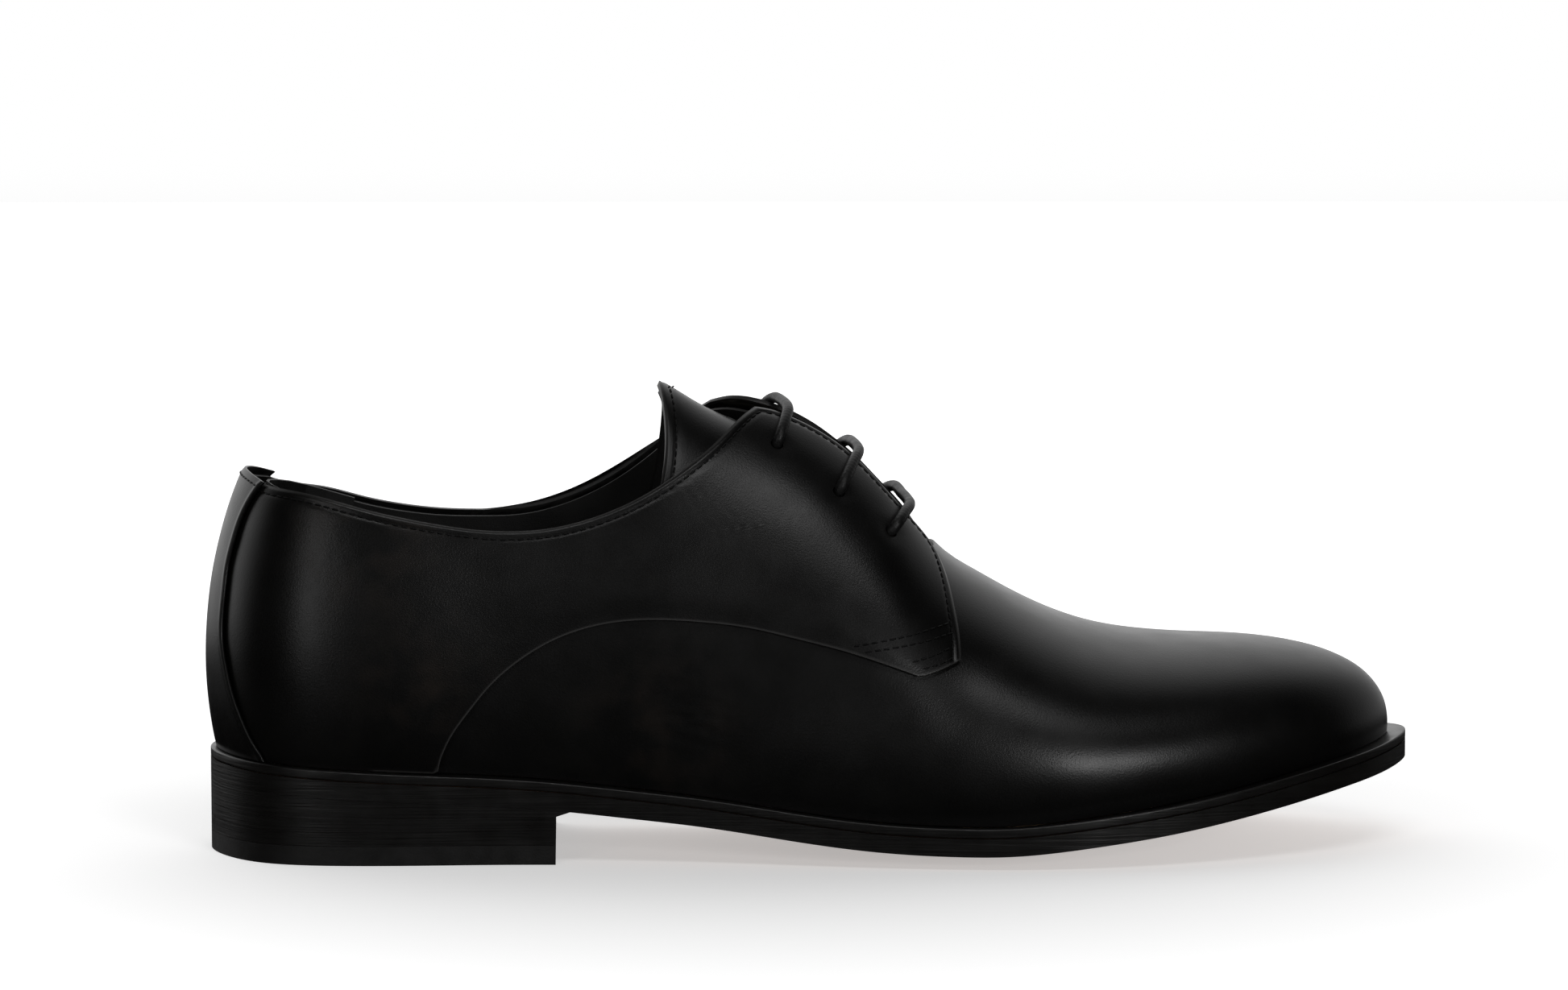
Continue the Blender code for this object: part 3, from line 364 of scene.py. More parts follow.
def welded(name, points, threshold=0.00001):
    """Closed skin: a sheet whose first and last rows and columns meet, joined along them."""
    piece = laid(name, points)
    edit(piece, (bpy.ops.mesh.remove_doubles, {"threshold": threshold}),
         (bpy.ops.mesh.normals_make_consistent, {"inside": False}))
    return piece


def done(piece, finish, body, replaced=(), angle=40, weighted=False):
    """Smooth shading, material, body and the CAD nodes that a finished piece stands for."""
    alone(piece)
    bpy.ops.object.shade_smooth_by_angle(angle=np.radians(angle))
    if weighted:
        modify(piece, "WEIGHTED_NORMAL", keep_sharp=True)
    piece.data.materials.clear()
    piece.data.materials.append(finish.material)
    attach(piece, body)
    if replaced:
        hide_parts(*replaced)
    return piece


def deck(name, s_values, inset, bottom, top, across=15, lip=0.0, rounding=0.15):
    """Plate between the two sides of the sole's outline, moved in; lip leans its top forward."""
    v = np.linspace(0, 1, across)[None, :, None]
    outer = inset_edge(s_values, np.broadcast_to(inset, s_values.shape))[:, None]
    inner = inset_edge(1 - s_values, np.broadcast_to(inset, s_values.shape))[:, None]
    plan = outer * (1 - v) + inner * v
    upper = plan.copy()
    upper[..., 0] += np.broadcast_to(lip, s_values.shape)[:, None]
    faces = [np.dstack([level, height(level[..., 0], level[..., 1])])
             for level, height in ((upper, top), (plan, bottom))]
    return plate(name, *faces, rounding)


def plate(name, top, bottom, rounding):
    """Closed solid: a sheet laid to its top, extruded, and its copy laid to the bottom."""
    piece = laid(name, top)
    count = len(piece.data.vertices)
    at = np.empty(count * 3, np.float32)
    piece.data.vertices.foreach_get("co", at)
    tops = {tuple(point): i for i, point in enumerate((top * MM).astype(np.float32).reshape(-1, 3))}
    order = [tops[tuple(point)] for point in at.reshape(-1, 3)]
    edit(piece, (bpy.ops.mesh.extrude_region_move, {}))
    points = np.concatenate([(bottom.reshape(-1, 3) * MM)[order], at.reshape(-1, 3)])
    piece.data.vertices.foreach_set("co", points.astype(np.float32).ravel())
    edit(piece, (bpy.ops.mesh.remove_doubles, {"threshold": 0.00001}),
         (bpy.ops.mesh.normals_make_consistent, {"inside": False}))
    modify(piece, "BEVEL", width=rounding * MM, segments=3, limit_method="ANGLE",
           angle_limit=np.radians(50), use_clamp_overlap=True)
    return piece


def level(height):
    return lambda x, y: np.full_like(x, height)


def on_sole(height):
    return lambda x, y: underside(x, y) + height


burnished = Finish("burnished_edge", Roughness=0.34, Base_Color=(0.006, 0.0055, 0.005, 1))
fibre = burnished.noise(1.0, 3.0, burnished.scaled(0.05, 0.05, 2.2))
scuff = burnished.noise(6.0, 4.0)
downwards = burnished.node("ShaderNodeSeparateXYZ", {},
                           {0: burnished.node("ShaderNodeNewGeometry", {}, {}, "Normal")}, "Z")
under = burnished.ramp(downwards * -1.0, (0.80, 0.0), (0.93, 1.0))
stripes = burnished.noise(1.2, 2.0, burnished.scaled(1.0, 0.06, 1.0))
tan = burnished.mix(stripes, (0.10, 0.045, 0.02, 1), (0.20, 0.10, 0.05, 1))
black = burnished.mix(fibre, (0.0014, 0.0013, 0.0012, 1), (0.0045, 0.0041, 0.0037, 1))
burnished.feed(Base_Color=burnished.mix(under, black, tan),
               Roughness=burnished.ramp(scuff * 0.6 + fibre * 0.4, (0.3, 0.27), (0.75, 0.42)),
               Normal=burnished.bump(fibre, 0.05))

rubber = Finish("heel_rubber", Roughness=0.5)
pits = rubber.noise(0.5, 3.0)
rubber.feed(Base_Color=rubber.mix(pits, (0.0025, 0.0024, 0.0023, 1), (0.0060, 0.0057, 0.0054, 1)),
            Roughness=rubber.ramp(rubber.noise(5.0), (0.3, 0.36), (0.8, 0.5)),
            Normal=rubber.bump(pits, 0.03))

rows = stations(0.0, s_at(BREAST_X), 60)
base = 0.0
for name, finish, thick in (("top_piece", rubber, TOP_PIECE), ("heel_lift_lower", burnished, LIFT),
                            ("heel_lift_upper", burnished, LIFT)):
    height = base + thick + GAP
    layer = deck("heel_" + name.replace("heel_", ""), rows, 0.0, level(base),
                 level(height - SEAM), rounding=0.5 if name == "top_piece" else 0.07)
    done(layer, finish, "root", [name],
         weighted=True)
    base = height
wedge = deck("heel_wedge", rows, 0.0, level(base), on_sole(-SEAM),
             lip=BREAST_LIP * (rows / rows[-1]) ** 40, rounding=0.07)
done(wedge, burnished, "root", ["heel_seat_wedge"], weighted=True)

# ---- Sole ---------------------------------------------------------------------------------------
# The outsole is vegetable-tanned leather, its edge stained and burnished with the welt above it.
# Inside are a cork filler, a steel shank, a leather insole board and a black leather sock.
whole = stations(0.0, 0.5, 150)
sole = deck("sole_outer", whole, 0.0, underside, on_sole(OUTSOLE + GAP - SEAM), across=25,
            rounding=0.5)
done(sole, burnished, "root", ["outsole"], weighted=True)

WELT_WIDTH, WELT_LOOPS = 8.5, 8
welt_foot = OUTSOLE + GAP
ring = np.concatenate([whole, 1 - whole[-2:0:-1]])
loops = [inset_edge(ring, np.full(len(ring), inset))
         for inset in np.linspace(0.0, WELT_WIDTH, WELT_LOOPS)]
welt_plan = np.array(loops + loops[::-1])
rise = np.repeat([WELT, 0.0], WELT_LOOPS)
welt_points = np.dstack([welt_plan, underside(welt_plan[..., 0], welt_plan[..., 1]) + welt_foot
                         + rise[:, None]])
welt_points = np.concatenate([welt_points, welt_points[:1]])
welt_points = np.concatenate([welt_points, welt_points[:, :1]], axis=1)
welt = welded("sole_welt", welt_points)
modify(welt, "BEVEL", width=0.45 * MM, segments=3, limit_method="ANGLE",
       angle_limit=np.radians(50))
done(welt, burnished, "root", ["welt"], weighted=True)

board = Finish("leather_board", Roughness=0.75)
board.feed(Base_Color=board.mix(board.noise(4.0, 5.0), (0.36, 0.20, 0.10, 1), (0.5, 0.31, 0.18, 1)),
           Roughness=board.ramp(board.noise(2.0), (0.3, 0.66), (0.8, 0.85)),
           Normal=board.bump(board.noise(0.6, 4.0), 0.06))
cork = Finish("granulated_cork", Roughness=0.9)
grains = cork.cells(2.2)
cork.feed(Base_Color=cork.mix(grains, (0.50, 0.34, 0.20, 1), (0.22, 0.13, 0.07, 1)),
          Roughness=cork.ramp(grains, (0.2, 0.82), (0.8, 0.95)), Normal=cork.bump(grains, 0.25))
steel = Finish("spring_steel", Metallic=1.0)
brushed = steel.noise(0.5, 3.0, steel.scaled(0.06, 1.0, 1.0))
steel.feed(Base_Color=steel.mix(brushed, (0.42, 0.43, 0.45, 1), (0.6, 0.6, 0.62, 1)),
           Roughness=steel.ramp(brushed, (0.3, 0.28), (0.8, 0.46)),
           Normal=steel.bump(brushed, 0.02))


def dress(finish, *nodes):
    """Gives CAD nodes that keep their shape a finished material."""
    for name in nodes:
        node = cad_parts[name]
        node.data.materials.clear()
        node.data.materials.append(finish.material)


dress(board, "insole")
dress(cork, "bottom_filler")
dress(steel, "shank", *[f"heel_nail_{number}" for number in range(1, 6)])

lining_leather = Finish("lining_leather", Roughness=0.62)
nap = lining_leather.noise(0.35, 3.0)
rubbed = lining_leather.noise(14.0, 3.0)
lining_leather.feed(
    Base_Color=lining_leather.mix(rubbed, (0.003, 0.003, 0.003, 1), (0.008, 0.0075, 0.007, 1)),
    Roughness=lining_leather.ramp(rubbed, (0.3, 0.5), (0.8, 0.68)),
    Normal=lining_leather.bump(nap, 0.06))

# ---- Vamp ---------------------------------------------------------------------------------------
# Box calf lasted over the forefoot in one piece, its wings running back under the quarters. All
# panels of the upper lie on one smooth surface of ribs that stand on the welt.
LEATHER, LINING, STRIP = 1.2, 0.8, 1.0
QUARTER_OUT = LEATHER + 0.95
STRIP_OUT = QUARTER_OUT + STRIP + 0.4
QUARTER_LINING_OUT = -LEATHER - 0.5
EYELET_FLANGE_OUT = QUARTER_LINING_OUT - LINING - 0.8
RIDGE = [(-100.5, 0, 123.9), (-70.7, 0, 125.4), (-50.9, 0.5, 125.9), (-36.0, 1, 123.5),
         (-25.1, 1.5, 117.4), (-13.2, 2, 112.0), (0.6, 2.5, 105.6), (8.6, 2.8, 100.4),
         (18.5, 3.2, 91.5), (26.4, 3.5, 81.5), (33.3, 3.8, 73.9), (41.3, 4, 68.6),
         (50.2, 4.2, 63.6), (60.1, 4.4, 58.8), (71.0, 4.6, 55.0), (81.9, 4.6, 53.0),
         (97.8, 4.4, 51.7)]
RIDGE_BACK, RIDGE_FRONT = -101.0, 98.0
RIB_SHAPE = [(-HALF, 9.0, 0.40, 0.85), (-120.3, 8.5, 0.40, 0.80), (-80.7, 7.0, 0.45, 0.68),
             (-41.0, 6.0, 0.50, 0.62), (-1.3, 6.5, 0.50, 0.60), (38.3, 9.0, 0.50, 0.60),
             (78.0, 8.0, 0.55, 0.64), (117.6, 4.5, 0.58, 0.74), (HALF, 0.8, 0.55, 0.80)]
THROAT = [(29.9, 75.3), (27.4, 69.4), (22.4, 64.9), (12.5, 63.4), (-1.3, 65.4), (-17.2, 67.9),
          (-33.1, 68.9), (-50.9, 66.9), (-66.8, 61.5), (-80.7, 51.5), (-92.5, 37.7),
          (-100.5, 24.2)]
ridge = spline(RIDGE)
rib_shape = spline(RIB_SHAPE)
edge_inset = spline([(-HALF, 4.7), (-130, 4.2), (-100, 4.0), (-60, 4.0), (-20, 4.4),
                     (20, 4.8), (60, 5.0), (HALF, 4.6)])


def curve(points, count):
    """Evenly spaced samples of a smooth curve through the points."""
    points = np.array(points, float)
    length = np.concatenate([[0], np.cumsum(np.linalg.norm(np.diff(points, axis=0), axis=1))])
    return spline(np.column_stack([length, points]))(np.linspace(0, length[-1], count))


def feather(s):
    """Foot of the rib at s."""
    x = sole_edge(np.asarray(s, float) % 1.0)[..., 0]
    place = inset_edge(s, edge_inset(x)[..., 0])
    height = underside(place[..., 0], place[..., 1]) + OUTSOLE + WELT + 2 * GAP
    return np.concatenate([place, height[..., None]], -1)


def ridge_top(foot):
    """Top of the rib that starts at foot. Ribs fan out round the toe and round the heel."""
    x, soft = foot[..., 0], 9.0
    x = x - soft * np.logaddexp(0, (x - RIDGE_FRONT) / soft)
    x = x + soft * np.logaddexp(0, (RIDGE_BACK - x) / soft)
    return np.concatenate([x[..., None], ridge(x)], -1)


def on_last(place):
    """Point of the vamp's outer face at (s, t)."""
    s, t = place[..., 0], place[..., 1][..., None]
    foot = feather(s)
    top = ridge_top(foot)
    lean, rise, reach = np.moveaxis(rib_shape(foot[..., 0]), -1, 0)
    away = foot[..., :2] - top[..., :2]
    span = np.linalg.norm(away, axis=-1, keepdims=True)
    low, high = foot.copy(), top.copy()
    low[..., :2] += away / span * lean[..., None]
    low[..., 2] += rise * (top[..., 2] - foot[..., 2])
    high[..., :2] += away * reach[..., None]
    return (foot * (1 - t) ** 3 + 3 * low * t * (1 - t) ** 2
            + 3 * high * t ** 2 * (1 - t) + top * t ** 3)


def outward(place):
    """Unit normal of the surface at (s, t)."""
    step = 0.002
    place = np.array(place, float)
    place[..., 1] = np.clip(place[..., 1], step, 0.985)
    round_step, up_step = np.array([step, 0]), np.array([0, step])
    along = on_last(place + round_step) - on_last(place - round_step)
    up = on_last(place + up_step) - on_last(place - up_step)
    normal = np.cross(along, up)
    # Level at the foot, so that every layer stands on the welt.
    normal[..., 2] *= np.clip((place[..., 1] - step) / 0.05, 0, 1)
    return normal / np.linalg.norm(normal, axis=-1, keepdims=True)


def at_layer(place, offset):
    """Point at (s, t), offset outwards from the vamp's outer face."""
    place = np.asarray(place, float)
    return on_last(place) + outward(place) * np.asarray(offset, float)[..., None]


def on_sheet(grid, offset):
    """The points of a grid of places, all at one layer."""
    return at_layer(grid, np.full(grid.shape[:-1], offset))


def panel(name, grid, lift, thick, rounding):
    """Leather panel over a grid of places, with its outer face at lift."""
    return plate(name, at_layer(grid, lift), at_layer(grid, lift - thick), rounding)


def flat(place):
    """Plan of the surface with each rib laid out straight: a map without a seam at the ridge."""
    foot = feather(place[..., 0])[..., :2]
    top = ridge_top(feather(place[..., 0]))[..., :2]
    return top + (foot - top) * (1 - place[..., 1][..., None])


def side_view(layer):
    """View from the side of the surface at a layer."""
    return lambda place: at_layer(place, layer)[..., [0, 2]]


def tree_of(points):
    """Search tree over rows of 3-D points."""
    tree = KDTree(len(points))
    for i, point in enumerate(points):
        tree.insert(point, i)
    tree.balance()
    return tree


def find(view, targets, low, high):
    """(s, t) between s = low and high whose view is at each target, by Newton's method."""
    targets = np.asarray(targets, float)
    shape = targets.shape
    targets = targets.reshape(-1, 2)
    grid = np.stack(np.meshgrid(np.linspace(low, high, 300), np.linspace(0, 1, 60),
                                indexing="ij"), -1).reshape(-1, 2)
    tree = tree_of(np.column_stack([view(grid), np.zeros(len(grid))]))
    place = grid[[tree.find((x, y, 0))[1] for x, y in targets]]
    step = 1e-4
    for _ in range(12):
        miss = targets - view(place)
        d_s = (view(place + (step, 0)) - view(place - (step, 0))) / (2 * step)
        d_t = (view(place + (0, step)) - view(place - (0, step))) / (2 * step)
        det = d_s[:, 0] * d_t[:, 1] - d_s[:, 1] * d_t[:, 0]
        det = np.where(np.abs(det) < 20, np.where(det < 0, -20, 20), det)
        move = np.stack([(miss[:, 0] * d_t[:, 1] - miss[:, 1] * d_t[:, 0]) / det,
                         (d_s[:, 0] * miss[:, 1] - d_s[:, 1] * miss[:, 0]) / det], -1)
        place = place + np.clip(move, (-0.01, -0.05), (0.01, 0.05))
        place = np.clip(place, (low, 0), (high, 1))
    return place.reshape(shape)


def on_side(side, points, count, layer=0.0):
    """Samples of a smooth side-view curve on the outer (0) or inner (1) side of a layer."""
    low, high = (0.0, 0.5) if side == 0 else (0.5, 1.0)
    return find(side_view(layer), curve(points, count), low, high)


def spread(line, at):
    """Samples of a line of places at the shares at of its real length."""
    points = on_last(line)
    gaps = np.linalg.norm(np.diff(points, axis=0), axis=1)
    length = np.concatenate([[0], np.cumsum(gaps)]) / gaps.sum()
    return np.column_stack([np.interp(at, length, line[:, k]) for k in (0, 1)])


def coons(bottom, top, left, right, u, v):
    """Grid that fills four boundary lines; u and v hold the shares of its columns and rows."""
    u, v = u[:, None, None], v[None, :, None]
    grid = (1 - v) * bottom[:, None] + v * top[:, None]
    for line, weight in ((left, (1 - u) ** 3), (right, u ** 3)):
        grid = grid + weight * (line[None] - line[0] - (line[-1] - line[0]) * v)
    return grid


def resample(line, count, crowd=0.0):
    """Samples along a plan line, up to 1 / (1 - crowd) times closer near its middle."""
    length = np.concatenate([[0], np.cumsum(np.linalg.norm(np.diff(line, axis=0), axis=1))])
    turn = np.linspace(-1, 1, count)
    at = length[-1] * (0.5 + 0.5 * (turn * (1 - crowd) + crowd * turn ** 3))
    return np.column_stack([np.interp(at, length, line[:, k]) for k in range(line.shape[1])])


def vamp_grid(throat, columns, rows):
    """Horseshoe patch round the toe, laid out on the flat plan so that it has no pole."""
    outer = on_side(0, throat, 60)
    inner = on_side(1, throat, 60)
    centre = [throat[0][0] + 1.5, ridge(throat[0][0] + 1.5)[0]]
    line_outer, line_inner = flat(outer[::-1]), flat(inner)
    bridge = curve([line_outer[-1], centre, line_inner[0]], 12)
    upper = np.vstack([line_outer, bridge[1:-1], line_inner])
    s_ends = outer[-1][0], inner[-1][0]
    lower = flat(np.column_stack([np.linspace(*s_ends, 300), np.zeros(300)]))
    upper, lower = resample(upper, columns, 0.45), resample(lower, columns, 0.45)
    v = np.linspace(0, 1, rows)[None, :, None] ** 1.3
    return find(flat, (1 - v) * lower[:, None] + v * upper[:, None], 0.0, 1.0)


def waves(points, height, size, seed):
    """Slow unevenness of stretched leather, height millimetres either way."""
    draw = np.random.default_rng(seed)
    total = 0
    for _ in range(7):
        way = draw.normal(size=3)
        way /= np.linalg.norm(way)
        total = total + np.sin(points @ way * 2 * np.pi / (size * draw.uniform(0.7, 1.6))
                               + draw.uniform(0, 2 * np.pi))
    return height * total / 4


def store_edge_highlight(piece, sheet, highlight_amounts):
    """Stores the painted edge highlight of each point of a piece, from the amounts along its outer
    sheet.
    """
    tree = tree_of(sheet.reshape(-1, 3) * MM)
    highlight_amounts = highlight_amounts.ravel()
    held = piece.data.attributes.new("edge", "FLOAT", "POINT")
    held.data.foreach_set("value", [float(highlight_amounts[tree.find(v.co)[1]])
                                    for v in piece.data.vertices])


def black_calf(name, warm):
    """Black aniline calf: fine pebble, soft shine and a trace of brown at some places."""
    made = Finish(name, Specular_IOR_Level=0.4)
    pebble = made.cells(0.42, "SMOOTH_F1")
    fine = made.noise(0.25, 3.0)
    cloud = made.noise(38.0, 3.0)
    streak = made.noise(9.0, 4.0)
    tone = made.mix(cloud, (0.0010, 0.00095, 0.0009, 1), (0.0022, 0.0021, 0.0020, 1))
    for centre, reach in warm:
        spot = made.near(centre, reach) * made.ramp(streak, (0.42, 0.0), (0.72, 1.0))
        tone = made.mix(spot * 0.35, tone, (0.013, 0.007, 0.0035, 1))
    # Painted highlight: points marked in the attribute edge, the cut and folded edges, are
    # lightened to grey in place of the thin light line they catch from the floor.
    edge_highlight = made.held("edge")
    tone = made.mix(edge_highlight, tone, (0.017, 0.0165, 0.016, 1))
    made.feed(Base_Color=tone,
              Roughness=made.ramp(cloud * 0.5 + streak * 0.5, (0.35, 0.28), (0.7, 0.37))
              + edge_highlight * 0.1,
              Normal=made.bump(pebble * 0.6 + fine * 0.4, 0.03))
    return made


def creases(points, marks):
    """Depth of the folds round some places: centre, reach, pitch and lean of each group."""
    total = np.zeros(points.shape[:-1])
    for (x, z), reach, pitch, lean, depth in marks:
        along = points[..., 0] - x + lean * (points[..., 2] - z)
        bend = 0.9 * np.sin(points[..., 2] / 4.1 + x) + 0.5 * np.sin(points[..., 2] / 1.9)
        window = np.exp(-((along / reach) ** 2 + ((points[..., 2] - z) / reach / 1.6) ** 2))
        total += depth * window * np.cos(2 * np.pi * (along + bend) / pitch) ** 5
    return total


calf_vamp = black_calf("vamp_calf", [((-40, -38, 35), 30)])
places = vamp_grid(THROAT, 170, 56)
surface = on_sheet(places, 0.0)
lift = waves(surface, 0.12, 42, 3) - creases(surface, [((-31, 41), 7, 4.5, 0.2, 0.16)])
vamp = panel("upper_vamp", places, lift, LEATHER, 0.3)
done(vamp, calf_vamp, "root", ["vamp"])

fibreboard = Finish("fibreboard", Roughness=0.8)
fibreboard.feed(Base_Color=fibreboard.mix(fibreboard.noise(1.0, 4.0), (0.62, 0.55, 0.43, 1),
                                          (0.78, 0.72, 0.6, 1)),
                Roughness=fibreboard.ramp(fibreboard.noise(3.0), (0.3, 0.7), (0.8, 0.9)),
                Normal=fibreboard.bump(fibreboard.noise(0.5, 4.0), 0.05))
dress(fibreboard, "toe_puff", "heel_counter", "facing_stay_lateral", "facing_stay_medial")
dress(lining_leather, "vamp_lining", "sock_liner", "heel_grip")

# ---- Quarters -----------------------------------------------------------------------------------
# Two calf panels from the back seam to the facings, laid over the vamp. The topline and the
# facing edge are folded and stitched, the front tab and the wing edge are cut and skived thin.
TOPLINES = [[(-139.3, 93.2), (-135.7, 92.4), (-126.3, 91.0), (-111.4, 87.3), (-96.5, 84.0),
             (-82.1, 81.9), (-66.8, 82.2), (-52.5, 85.9), (-42.6, 90.4), (-32.7, 96.7),
             (-22.8, 104.7), (-17.7, 109.2), (-14.7, 111.0)],
            [(-139.3, 93.0), (-136.0, 91.2), (-124.4, 88.6), (-114.1, 85.8), (-103.8, 83.7),
             (-93.4, 82.6), (-83.1, 82.4), (-72.8, 82.9), (-62.4, 85.5), (-52.0, 90.3),
             (-41.6, 97.5), (-33.5, 104.6), (-28.0, 109.4), (-25.0, 111.4)]]
FACINGS = [[(-14.7, 111.0), (-10.6, 110.2), (-5.2, 108.2), (1.3, 104.9), (7.1, 101.1),
            (12.4, 96.6), (17.7, 91.0), (24.0, 84.0), (28.0, 79.4), (31.0, 74.8), (33.0, 68.6),
            (33.9, 62.4), (34.5, 55.9), (34.4, 50.8)],
           [(-25.0, 111.4), (-20.4, 112.6), (-11.2, 111.5), (-5.2, 109.2), (1.3, 105.6),
            (7.1, 101.4), (12.4, 97.0), (17.7, 91.6), (24.3, 84.6), (28.2, 79.2), (31.0, 74.4),
            (33.0, 68.4), (33.9, 62.4), (34.5, 55.9), (34.4, 50.8)]]
TAB_FOOT = [(34.4, 50.8), (29.4, 48.6), (24.0, 46.9)]
WING = [(24.0, 46.9), (14.4, 50.2), (5.7, 52.9), (-6.8, 56.0), (-17.2, 58.3), (-29.3, 59.7),
        (-40.6, 60.2), (-51.8, 59.3), (-63.1, 56.1), (-74.3, 49.6), (-81.1, 43.5), (-85.7, 37.8),
        (-90.4, 31.1), (-93.5, 24.0)]
EDGE_STEPS = [0.0, 0.25, 0.55, 0.9, 1.3, 1.7, 2.1, 2.5, 3.0, 3.8, 5.0, 6.6, 8.6]
STITCH_IN, STITCH_DEPTH, STITCH_WIDTH = 2.1, 0.22, 0.45
QUARTER_LENGTH, WING_START = 185, 45
SEAM_S = (0.0015, 0.9985)
NEAR_ROWS = 24


def rib_height(s, z):
    """t at which the rib at s reaches the height z."""
    samples = np.linspace(0, 1, 200)
    heights = on_last(np.column_stack([np.full(200, s), samples]))[:, 2]
    return float(np.interp(z, heights, samples))


def shares(length, spacing, start, end):
    """Shares along a length, finely spaced near the ends that are edges."""
    low = np.array(EDGE_STEPS if start else [0.0])
    high = length - np.array(EDGE_STEPS[::-1] if end else [0.0])
    count = int((high[0] - low[-1]) / spacing) + 1
    return np.concatenate([low, np.linspace(low[-1], high[0], count + 1)[1:-1], high]) / length


def quarter_grid(side):
    """Places of one quarter: from the back seam to the facing, and from the foot to the topline."""
    seam_s = SEAM_S[side]
    back_top = (seam_s, rib_height(seam_s, TOPLINES[side][0][1]))
    topline = on_side(side, TOPLINES[side], 90, QUARTER_OUT)
    topline[0] = back_top
    facing = on_side(side, FACINGS[side], 70, QUARTER_OUT)
    topline[-1] = facing[0]
    tab = on_side(side, TAB_FOOT, 14, QUARTER_OUT)
    wing = on_side(side, WING, 90, QUARTER_OUT)[::-1]
    wing[0] = wing_end = (wing[0][0], 0.0)
    sole_line = np.column_stack([np.linspace(seam_s, wing_end[0], 30), np.zeros(30)])
    bottom = np.vstack([sole_line[:-1], wing[:-1], tab[::-1]])
    right = facing[::-1]
    left = np.column_stack([np.full(30, seam_s), np.linspace(0, back_top[1], 30)])
    u, v = shares(QUARTER_LENGTH, 1.5, False, True), shares(66, 1.4, True, True)
    bottom, topline = spread(bottom, u), spread(topline, u)
    left, right = spread(left, v), spread(right, v)
    bottom[-1], topline[-1] = right[0], right[-1]
    wing_first = len(u) * WING_START // QUARTER_LENGTH
    return coons(bottom, topline, left, right, u, v), wing_first


def apart(points, line):
    """Distance of each point from a line of points."""
    tree = tree_of(line)
    gaps = [tree.find(point)[2] for point in points.reshape(-1, 3)]
    return np.array(gaps).reshape(points.shape[:-1])


def dense(line, spacing=0.25):
    """The same 3-D line with samples that close."""
    gaps = np.linalg.norm(np.diff(line, axis=0), axis=1)
    length = np.concatenate([[0], np.cumsum(gaps)])
    at = np.linspace(0, length[-1], int(length[-1] / spacing) + 2)
    return np.column_stack([np.interp(at, length, line[:, k]) for k in range(3)])


def smooth(value, start, end):
    """0 at start and before, 1 at end and after."""
    share = np.clip((value - start) / (end - start), 0, 1)
    return share * share * (3 - 2 * share)


calf_quarter = black_calf("quarter_calf", [((-110, -30, 80), 28), ((-98, -34, 46), 26)])

thread = Finish("linen_thread", Specular_IOR_Level=0.2)
twist = thread.noise(0.3, 1.0, thread.scaled(1.0, 1.0, 3.0))
thread.feed(Base_Color=thread.mix(twist, (0.0006, 0.0006, 0.0006, 1), (0.002, 0.002, 0.002, 1)),
            Roughness=thread.ramp(twist, (0.3, 0.42), (0.8, 0.6)), Normal=thread.bump(twist, 0.05))


def stitch_row(name, line, normals, body, seed, pitch=2.2, length=1.45, radius=0.25,
               sunk=0.08):
    """Row of stitches: one small rounded bar, copied at every pitch along a 3-D line."""
    gaps = np.linalg.norm(np.diff(line, axis=0), axis=1)
    at = np.concatenate([[0], np.cumsum(gaps)])
    draw = np.random.default_rng(50 + seed)
    middles = np.arange(pitch / 2, at[-1] - pitch / 4, pitch)
    middles = middles + draw.uniform(-0.08, 0.08, len(middles))
    ups = np.column_stack([np.interp(np.linspace(0, 1, len(line)),
                                     np.linspace(0, 1, len(normals)), normals[:, k])
                           for k in range(3)])
    bpy.ops.object.select_all(action="DESELECT")
    bpy.ops.mesh.primitive_cylinder_add(vertices=6, radius=1.0, depth=1.0)
    pattern = bpy.context.active_object
    edit(pattern, (bpy.ops.mesh.bevel, {"offset": 0.25, "segments": 1, "affect": "EDGES"}))
    verts = np.array([v.co[:] for v in pattern.data.vertices])
    faces = [list(p.vertices) for p in pattern.data.polygons]
    bpy.data.objects.remove(pattern, do_unlink=True)
    points, polygons = [], []
    for middle in middles:
        here, ahead, up = [np.array([np.interp(middle + step, at, rows[:, k]) for k in range(3)])
                           for step, rows in ((0, line), (0.2, line), (0, ups))]
        along = (ahead - here) / np.linalg.norm(ahead - here)
        up = up / np.linalg.norm(up)
        side = np.cross(along, up)
        body_points = (here + up * sunk + verts[:, :1] * side * radius
                       + verts[:, 1:2] * up * radius + verts[:, 2:] * along * length)
        polygons += [[i + len(points) * len(verts) for i in face] for face in faces]
        points.append(body_points)
    mesh = bpy.data.meshes.new(name)
    mesh.from_pydata((np.concatenate(points) * MM).tolist(), [], polygons)
    piece = bpy.data.objects.new(name, mesh)
    bpy.context.collection.objects.link(piece)
    edit(piece, (bpy.ops.mesh.normals_make_consistent, {"inside": False}))
    return done(piece, thread, body, angle=60)


EYELET_PLACES = [[(-9.6, 102.1), (5.5, 90.6), (18.5, 80.9)],
                 [(-15.2, 104.6), (2.6, 93.0), (15.8, 83.3)]]
EYELET_HOLE = 1.6


def eyelet_frame(side, place):
    """Place, centre on the vamp-face layer and outward direction of one eyelet."""
    spot = on_side(side, [place, (place[0] + 1, place[1])], 2, QUARTER_OUT)[0]
    return spot, on_last(spot), outward(spot)


def drill(piece, holes):
    """Cuts a round hole through a piece at each eyelet."""
    for _, centre, way in holes:
        turn = Vector((0, 0, 1)).rotation_difference(Vector(way)).to_euler()
        bpy.ops.object.select_all(action="DESELECT")
        bpy.ops.mesh.primitive_cylinder_add(vertices=24, radius=EYELET_HOLE * MM, depth=6 * MM,
                                            location=Vector(centre + way * 1.5) * MM,
                                            rotation=turn)
        cutter = bpy.context.active_object
        modify(piece, "BOOLEAN", object=cutter, operation="DIFFERENCE", solver="EXACT")
        bpy.data.objects.remove(cutter, do_unlink=True)


